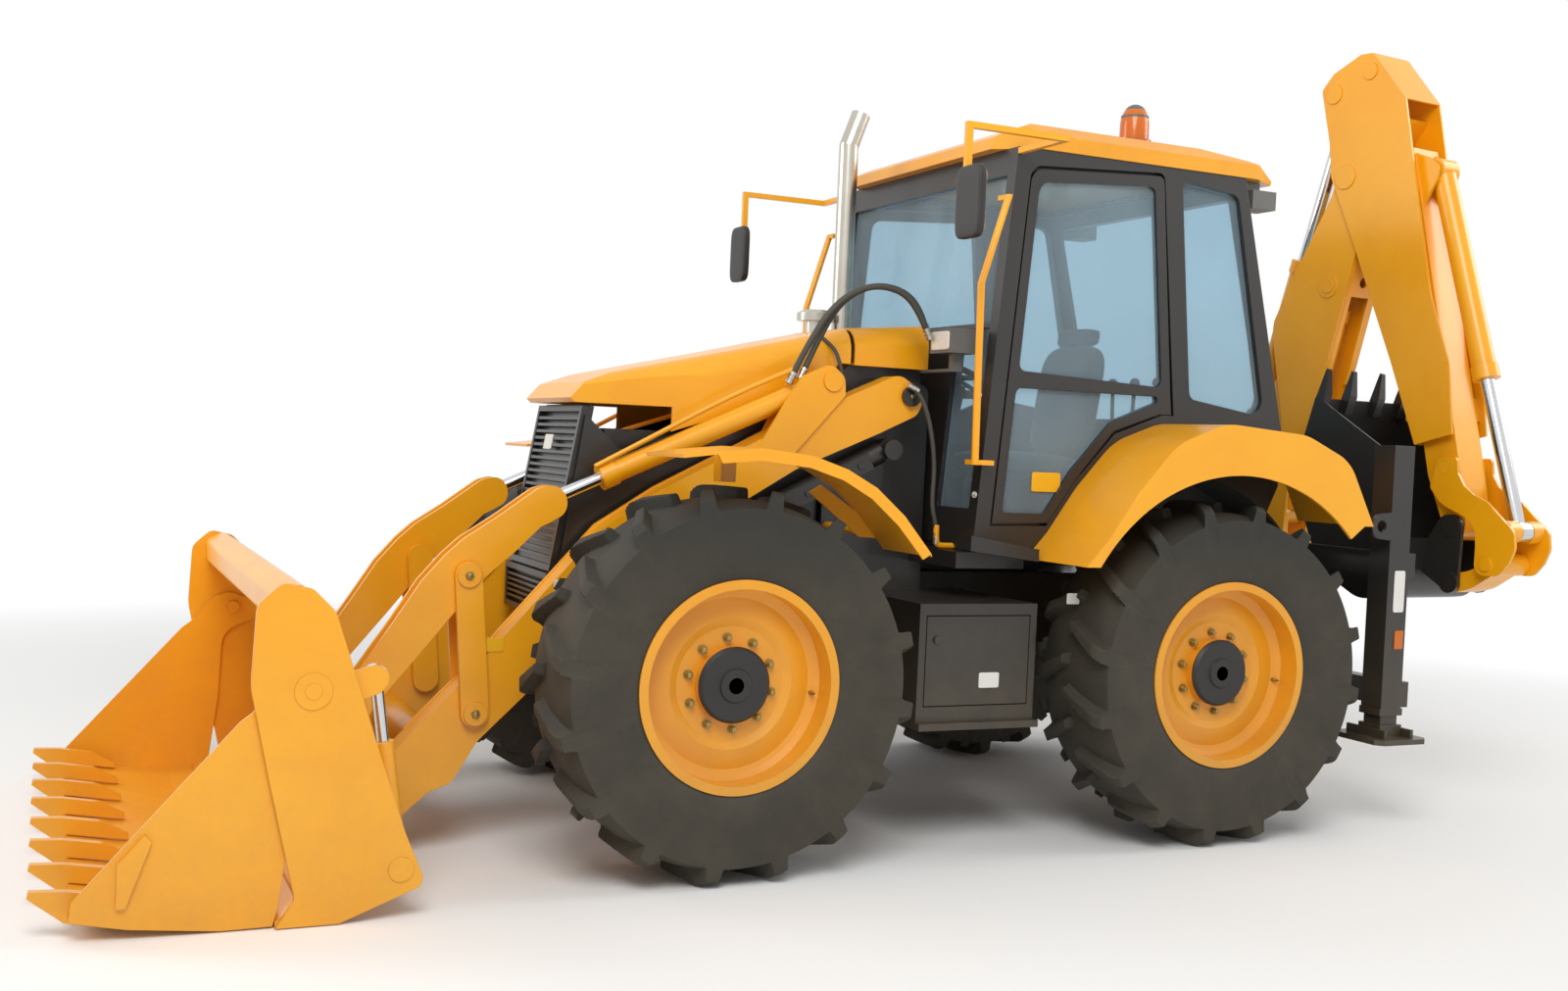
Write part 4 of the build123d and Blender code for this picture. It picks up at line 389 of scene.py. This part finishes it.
# ------------------------------------------------------------------ hubs, wheel nuts and valve
# A black cover closes each planetary hub; ten zinc-plated nuts on round washers hold the
# rim's disc on a ring of studs.
STUD_RING = 165
DISC_OUT = 76              # outer face of the rim's disc from the middle of the tyre


def lathe(name, rows, look, body, axis="Y", side=1, place=(0, 0, 0), steps=48):
    """A profile of (radius, height) rows, carried round an axis through a place."""
    r, h = np.array(rows, float).T
    t = np.linspace(0, 2 * np.pi, steps, endpoint=False)[:, None]
    ring = {"Y": (r * np.sin(t), side * (h + 0 * t), r * np.cos(t)),
            "Z": (r * np.cos(t), r * np.sin(t), side * (h + 0 * t))}[axis]
    spots = at(*(np.stack(ring, -1).reshape(-1, 3) + place))
    mesh = bpy.data.meshes.new(name)
    closed = r[0] > 0.001
    mesh.from_pydata(spots.tolist(), [], grid(steps, len(r), True, closed).tolist())
    return piece(mesh, look, body)


def nut(places, name, look, body, across=24, tall=18, shank=9.0, face=(0, 1, 0)):
    """Hexagon nuts, each with a round washer and its stud's end, standing on the face they hold.

    Rings are stacked along the face's axis; on a hexagon's rings the radius is divided by the
    cosine of the angle from the middle of each flat.
    """
    flat_r = across / 1.732
    end = tall + 6
    # radius, height, round (1) or hexagonal (0)
    rows = ((across * 0.78, 0, 1), (across * 0.78, 3, 1), (flat_r, 3, 0), (flat_r, tall - 2, 0),
            (across / 2 - 1, tall, 1), (shank, tall, 1), (shank, end, 1), (shank - 2, end + 1, 1),
            (0.01, end + 1, 1))
    t = np.radians(np.arange(0, 360, 15))
    flat = 1 / np.cos((t + np.pi / 6) % (np.pi / 3) - np.pi / 6) * np.cos(np.pi / 6)
    normal = np.array(face, float)
    first = np.cross(normal, (0.3, 0.2, 0.93))
    first /= np.linalg.norm(first)
    second = np.cross(normal, first)
    ring = np.cos(t)[:, None] * first + np.sin(t)[:, None] * second
    one = np.concatenate([(r * np.where(plain, 1, flat))[:, None] * ring + h * normal
                          for r, h, plain in rows])
    links = grid(len(rows), len(t), columns_closed=True)
    spots = np.concatenate([one + p for p in np.array(places, float)])
    faces = np.concatenate([links + i * len(one) for i in range(len(places))])
    mesh = bpy.data.meshes.new(name)
    mesh.from_pydata(at(*spots).tolist(), [], faces.tolist())
    return piece(mesh, look, body)


COVER = [(136, 112), (137, 119), (126, 131), (62, 132), (58, 139.5), (0, 140)]
VALVE = [(6, 150), (8, 152), (8, 172), (5, 176), (4.5, 190), (0, 190)]
for corner, x, side in WHEELS:
    wheel = f"wheel_{corner}"
    out = np.radians(np.arange(10) * 36 + 6)
    studs = np.stack([x + STUD_RING * np.sin(out), 0 * out + side * (TYRE_Y + DISC_OUT),
                      AXLE_Z + STUD_RING * np.cos(out)], 1)
    nut(studs, f"wheel_nuts_{corner}", ZINC, wheel, face=(0, side, 0))
    lathe(f"hub_cover_{corner}", COVER, PLASTIC, wheel, side=side, place=(x, side * TYRE_Y, AXLE_Z))
    lathe(f"tyre_valve_{corner}", VALVE, ZINC, wheel, side=side, steps=16,
          place=(x - 318, side * (TYRE_Y - 75), AXLE_Z - 40))


# ------------------------------------------------------------------ hydraulic hoses and pipes
# Wire-braided rubber hoses with crimped steel ends carry the oil over the joints; bent steel
# pipe, sprayed with the frame, carries it along the arms.


def route(name, points, wide):
    """A round NURBS curve of order three with the points as its control points.

    It gives the curve, the length of its line and the points of that line, read before the
    curve gets its thickness.
    """
    line = bpy.data.curves.new(name, "CURVE")
    line.dimensions = "3D"
    spline = line.splines.new("NURBS")
    spline.points.add(len(points) - 1)
    spots = at(*points)
    spline.points.foreach_set("co", np.hstack([spots, np.ones((len(spots), 1))]).ravel())
    spline.order_u, spline.use_endpoint_u, spline.resolution_u = 3, True, 12
    made = bpy.data.objects.new(name, line)
    bpy.context.scene.collection.objects.link(made)
    bare = bpy.data.meshes.new_from_object(made)
    run = np.empty(len(bare.vertices) * 3)
    bare.vertices.foreach_get("co", run)
    run = run.reshape(-1, 3)
    bpy.data.meshes.remove(bare)
    line.bevel_depth, line.bevel_resolution, line.use_fill_caps = wide / 2000, 4, True
    return made, np.linalg.norm(np.diff(run, axis=0), axis=1).sum(), run


def sleeve(name, foot, tip, r, look, body):
    """A crimped end: a turned profile with three grooves, carried from foot to tip."""
    foot, tip = np.array(foot, float), np.array(tip, float)
    along = tip - foot
    reach = np.linalg.norm(along)
    along /= reach
    first = np.cross(along, (0.31, 0.52, 0.8))
    first /= np.linalg.norm(first)
    second = np.cross(along, first)
    share = np.array((0, 0, 0.02, 0.3, 0.33, 0.4, 0.43, 0.6, 0.63, 0.7, 0.73, 0.98, 1, 1))
    width = r * np.array((0.01, 0.9, 1, 1, 0.9, 0.9, 1, 1, 0.9, 0.9, 1, 1, 0.9, 0.01))
    steps = 20
    t = np.linspace(0, 2 * np.pi, steps, endpoint=False)
    ring = np.cos(t)[:, None] * first + np.sin(t)[:, None] * second
    spots = foot + share[:, None, None] * reach * along + width[:, None, None] * ring
    mesh = bpy.data.meshes.new(name)
    faces = grid(len(share), steps, columns_closed=True)
    mesh.from_pydata(at(*spots.reshape(-1, 3)).tolist(), [], faces.tolist())
    return piece(mesh, look, body)


def hose(name, points, wide, body, ends=True, crosses=None):
    """A hose held at both ends: its route, its two crimped ends, and its measured length.

    crosses names the body past a joint, which holds the far end; the points given after the name, where a
    bend would start and end, are not used.
    """
    made, length, run = route(name, points, wide)
    last = body
    if crosses:
        mesh = bpy.data.meshes.new_from_object(made)
        bpy.data.objects.remove(made)
        mesh.name = name
        made = piece(mesh, HOSE)
        last = crosses[0]
        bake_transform(made)
    else:
        made.data.materials.append(HOSE)
        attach(made, body)
    points = np.array(points, float)
    if ends:
        for tag, near, far, held in (("a", *points[:2], body), ("b", *points[:-3:-1], last)):
            way = (far - near) / np.linalg.norm(far - near)
            sleeve(f"{name}_end_{tag}", near - 4 * way, near + 46 * way, wide * 0.62, BRIGHT_ZINC, held)
    return made


def pipe(name, points, wide, body, look):
    """A bent steel pipe, rigid, made a mesh from its own route."""
    made, _, _ = route(name, points, wide)
    mesh = bpy.data.meshes.new_from_object(made)
    mesh.name = name
    bpy.data.objects.remove(made)
    return piece(mesh, look, body)


ARM_HOSE, CROSS_HOSE, LIFT_HOSE = 26, 16, 20      # outer diameters
TILT_PIPE, LIFT_PIPE = 20, 26
ARM_ROUTES = (
    [(590, 452, 1795), (530, 452, 1930), (432, 452, 2110), (290, 452, 2195), (140, 452, 2185),
     (50, 452, 2110), (16, 456, 2005)],
    [(640, 455, 1775), (575, 472, 1925), (472, 492, 2098), (330, 500, 2186), (180, 500, 2180),
     (88, 500, 2105), (30, 500, 1990)])
# The arm hoses leave the chassis beside the left work lamp, arc over the arms' pivot and end on
# the left tilt ram
for number, spots in enumerate(ARM_ROUTES, 1):
    hose(f"arm_hose_{number}", spots[::-1], ARM_HOSE, "chassis",
         crosses=("loader_arms", (250, 450, 2190), (560, 450, 1880)))
for side, hand in ((1, "left"), (-1, "right")):
    pipe(f"tilt_pipe_{hand}", [(590, side * 452, 1842), (690, side * 458, 1800), (900, side * 455, 1702),
         (1250, side * 452, 1510), (1430, side * 448, 1412)], TILT_PIPE, "tilt_barrels", YELLOW)
    hose(f"lift_hose_{hand}", [(120, side * 508, 1790), (80, side * 520, 1770), (40, side * 545, 1660),
         (12, side * 560, 1480), (26, side * 570, 1300), (2, side * 578, 1220), (2, side * 578, 1150)],
         LIFT_HOSE, "chassis")
    pipe(f"lift_pipe_{hand}", [(2, side * 578, 1226), (2, side * 578, 1165), (-8, side * 578, 1141),
         (-60, side * 578, 1141), (-100, side * 578, 1141)], LIFT_PIPE, "chassis", YELLOW)
hose("cross_hose", [(441, 300, 1985), (400, 352, 1940), (388, 388, 1890), (376, 398, 1830)],
     CROSS_HOSE, "chassis", ends=False)


# ------------------------------------------------------------------ mirrors, lamps and beacon
# Moulded black cases carry silvered mirrors that look back; the work lamps have prismatic
# lenses, and the amber beacon is a dyed dome on a grey foot.


def pillow(name, middle, half, look, body, blunt=0.3, crown=0.0, lean=0.0, counts=(40, 56)):
    """A closed rounded form: a superellipsoid about a place, with its half sizes along X, Y and Z.

    Powers below one of the sine and cosine push the sphere's surface out to a box's faces;
    crown lifts the middle of the faces over its edges, and lean moves each point along X in
    step with its height.
    """
    v = np.linspace(-np.pi / 2, np.pi / 2, counts[0])[:, None]
    u = np.linspace(0, 2 * np.pi, counts[1], endpoint=False)[None, :]

    def power(wave):
        return np.sign(wave) * np.abs(wave) ** blunt
    x = power(np.cos(v)) * power(np.cos(u))
    y = power(np.cos(v)) * power(np.sin(u))
    z = power(np.sin(v)) + 0 * u
    z = z * (1 + crown * (1 - x * x) * (1 - y * y)) / (1 + crown)
    spots = np.stack([x, y, z], -1).reshape(-1, 3) * half
    spots[:, 0] += lean * spots[:, 2]
    mesh = bpy.data.meshes.new(name)
    mesh.from_pydata(at(*(spots + middle)).tolist(), [], grid(*counts, columns_closed=True).tolist())
    return piece(mesh, look, body, smooth=50)


for side, hand in ((1, "left"), (-1, "right")):
    pillow(f"mirror_case_{hand}", (222, side * 1090, 2460), (20, 86, 136), PLASTIC, "chassis", 0.35)
    pillow(f"mirror_face_{hand}", (204, side * 1090, 2460), (4, 74, 122), MIRROR, "chassis", 0.3)
    pillow(f"work_lamp_lens_{hand}", (8, side * 555, 1980), (7, 70, 38), CLEAR_LENS, "chassis", 0.22)
    pillow(f"rear_lamp_lens_{hand}", (-1558, side * 660, 2690), (6, 50, 32), RED_LENS, "chassis", 0.22)
DOME = [(75, 2893), (76, 2922), (64, 2926), (63, 3000), (58, 3030), (46, 3055), (26, 3072), (0, 3078)]
lathe("beacon_dome", DOME, AMBER, "chassis", axis="Z", place=(-970, 465, 0))


# ------------------------------------------------------------------ operator's seat
# Sprung seat: a moulded base, a cushion and a back of foam under woven cloth, and a separate
# headrest of the same cloth on two chromed posts.
for name, middle, half, lean, crown, fill in (
        ("seat_cushion", (-720, 0, 1486), (236, 232, 60), 0.0, 0.35, 0.7),
        ("seat_back", (-1010, 0, 1790), (48, 214, 262), -0.15, 0.1, 0.7),
        ("seat_headrest", (-1058, 0, 2085), (38, 132, 44), -0.15, 0.2, 0.6)):
    made = pillow(name, middle, half, CLOTH, "chassis", 0.38, crown, lean, (64, 96))
    if name == "seat_cushion":
        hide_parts("seat")
pillow("seat_base", (-730, 0, 1305), (168, 186, 122), PLASTIC, "chassis", 0.25)
for hand, y in (("right", -62), ("left", 62)):
    post = [(-1046, y, 2010), (-1050, y, 2040), (-1055, y, 2072)]
    pipe(f"headrest_post_{hand}", post, 12, "chassis", CHROME)


# ------------------------------------------------------------------ blank plates and reflectors
# Vinyl plates, left bare, and a prismatic reflector: thin rounded films on the steel and on
# the lower pane of the door.
PLATES = (("grille_badge_place", (1466, -60, 1497), (3, 52, 30), WHITE_VINYL, "bonnet", -0.17),
          ("arm_plate", (1810, 476, 742), (46, 2, 26), YELLOW_VINYL, "loader_arms", 0.0),
          ("arm_label", (1520, 476, 960), (60, 2, 24), WHITE_VINYL, "loader_arms", 0.0),
          ("locker_label", (-60, 931, 640), (46, 2, 30), WHITE_VINYL, "locker_door", 0.0),
          ("box_label", (-440, 931, 960), (30, 2, 22), WHITE_VINYL, "chassis", 0.0),
          ("leg_label", (-2003, 1119, 1010), (30, 2, 90), WHITE_VINYL, "chassis", 0.0),
          ("leg_reflector", (-2015, 1119, 800), (24, 3, 40), AMBER, "chassis", 0.0),
          ("door_plate_front", (-420, 728, 1420), (70, 2, 40), YELLOW_VINYL, "door_left", 0.0),
          ("door_plate_rear", (-560, 728, 1420), (40, 2, 40), YELLOW_VINYL, "door_left", 0.0))
for name, middle, half, look, body, lean in PLATES:
    pillow(name, middle, half, look, body, 0.16, 0.0, lean, (24, 48))


# ------------------------------------------------------------------ pins and bolts
# The arms' pivot and the pins of the levers and links are kept by a bolt on a washer on their
# outer faces, and small bolts hold the front edge of the cab's side plate.
for side, hand in ((1, "left"), (-1, "right")):
    out = (0, side, 0)
    nut([(95, side * 476, 1748)], f"arm_pivot_bolt_{hand}", ZINC, "chassis", 34, 16, face=out)
    lever_pins = [(1908, side * 501, 1000), (1867, side * 501, 492)]
    nut(lever_pins, f"lever_bolts_{hand}", ZINC, "bucket_levers", 30, 14, face=out)
    nut([(2325, side * 476, 520)], f"link_bolt_{hand}", ZINC, "front_bucket", 30, 14, face=out)
    rail = [(-70, side * 741, z) for z in (1360, 1560, 1760)]
    nut(rail, f"cab_bolts_{hand}", BRIGHT_ZINC, "chassis", 16, 9, shank=5, face=out)
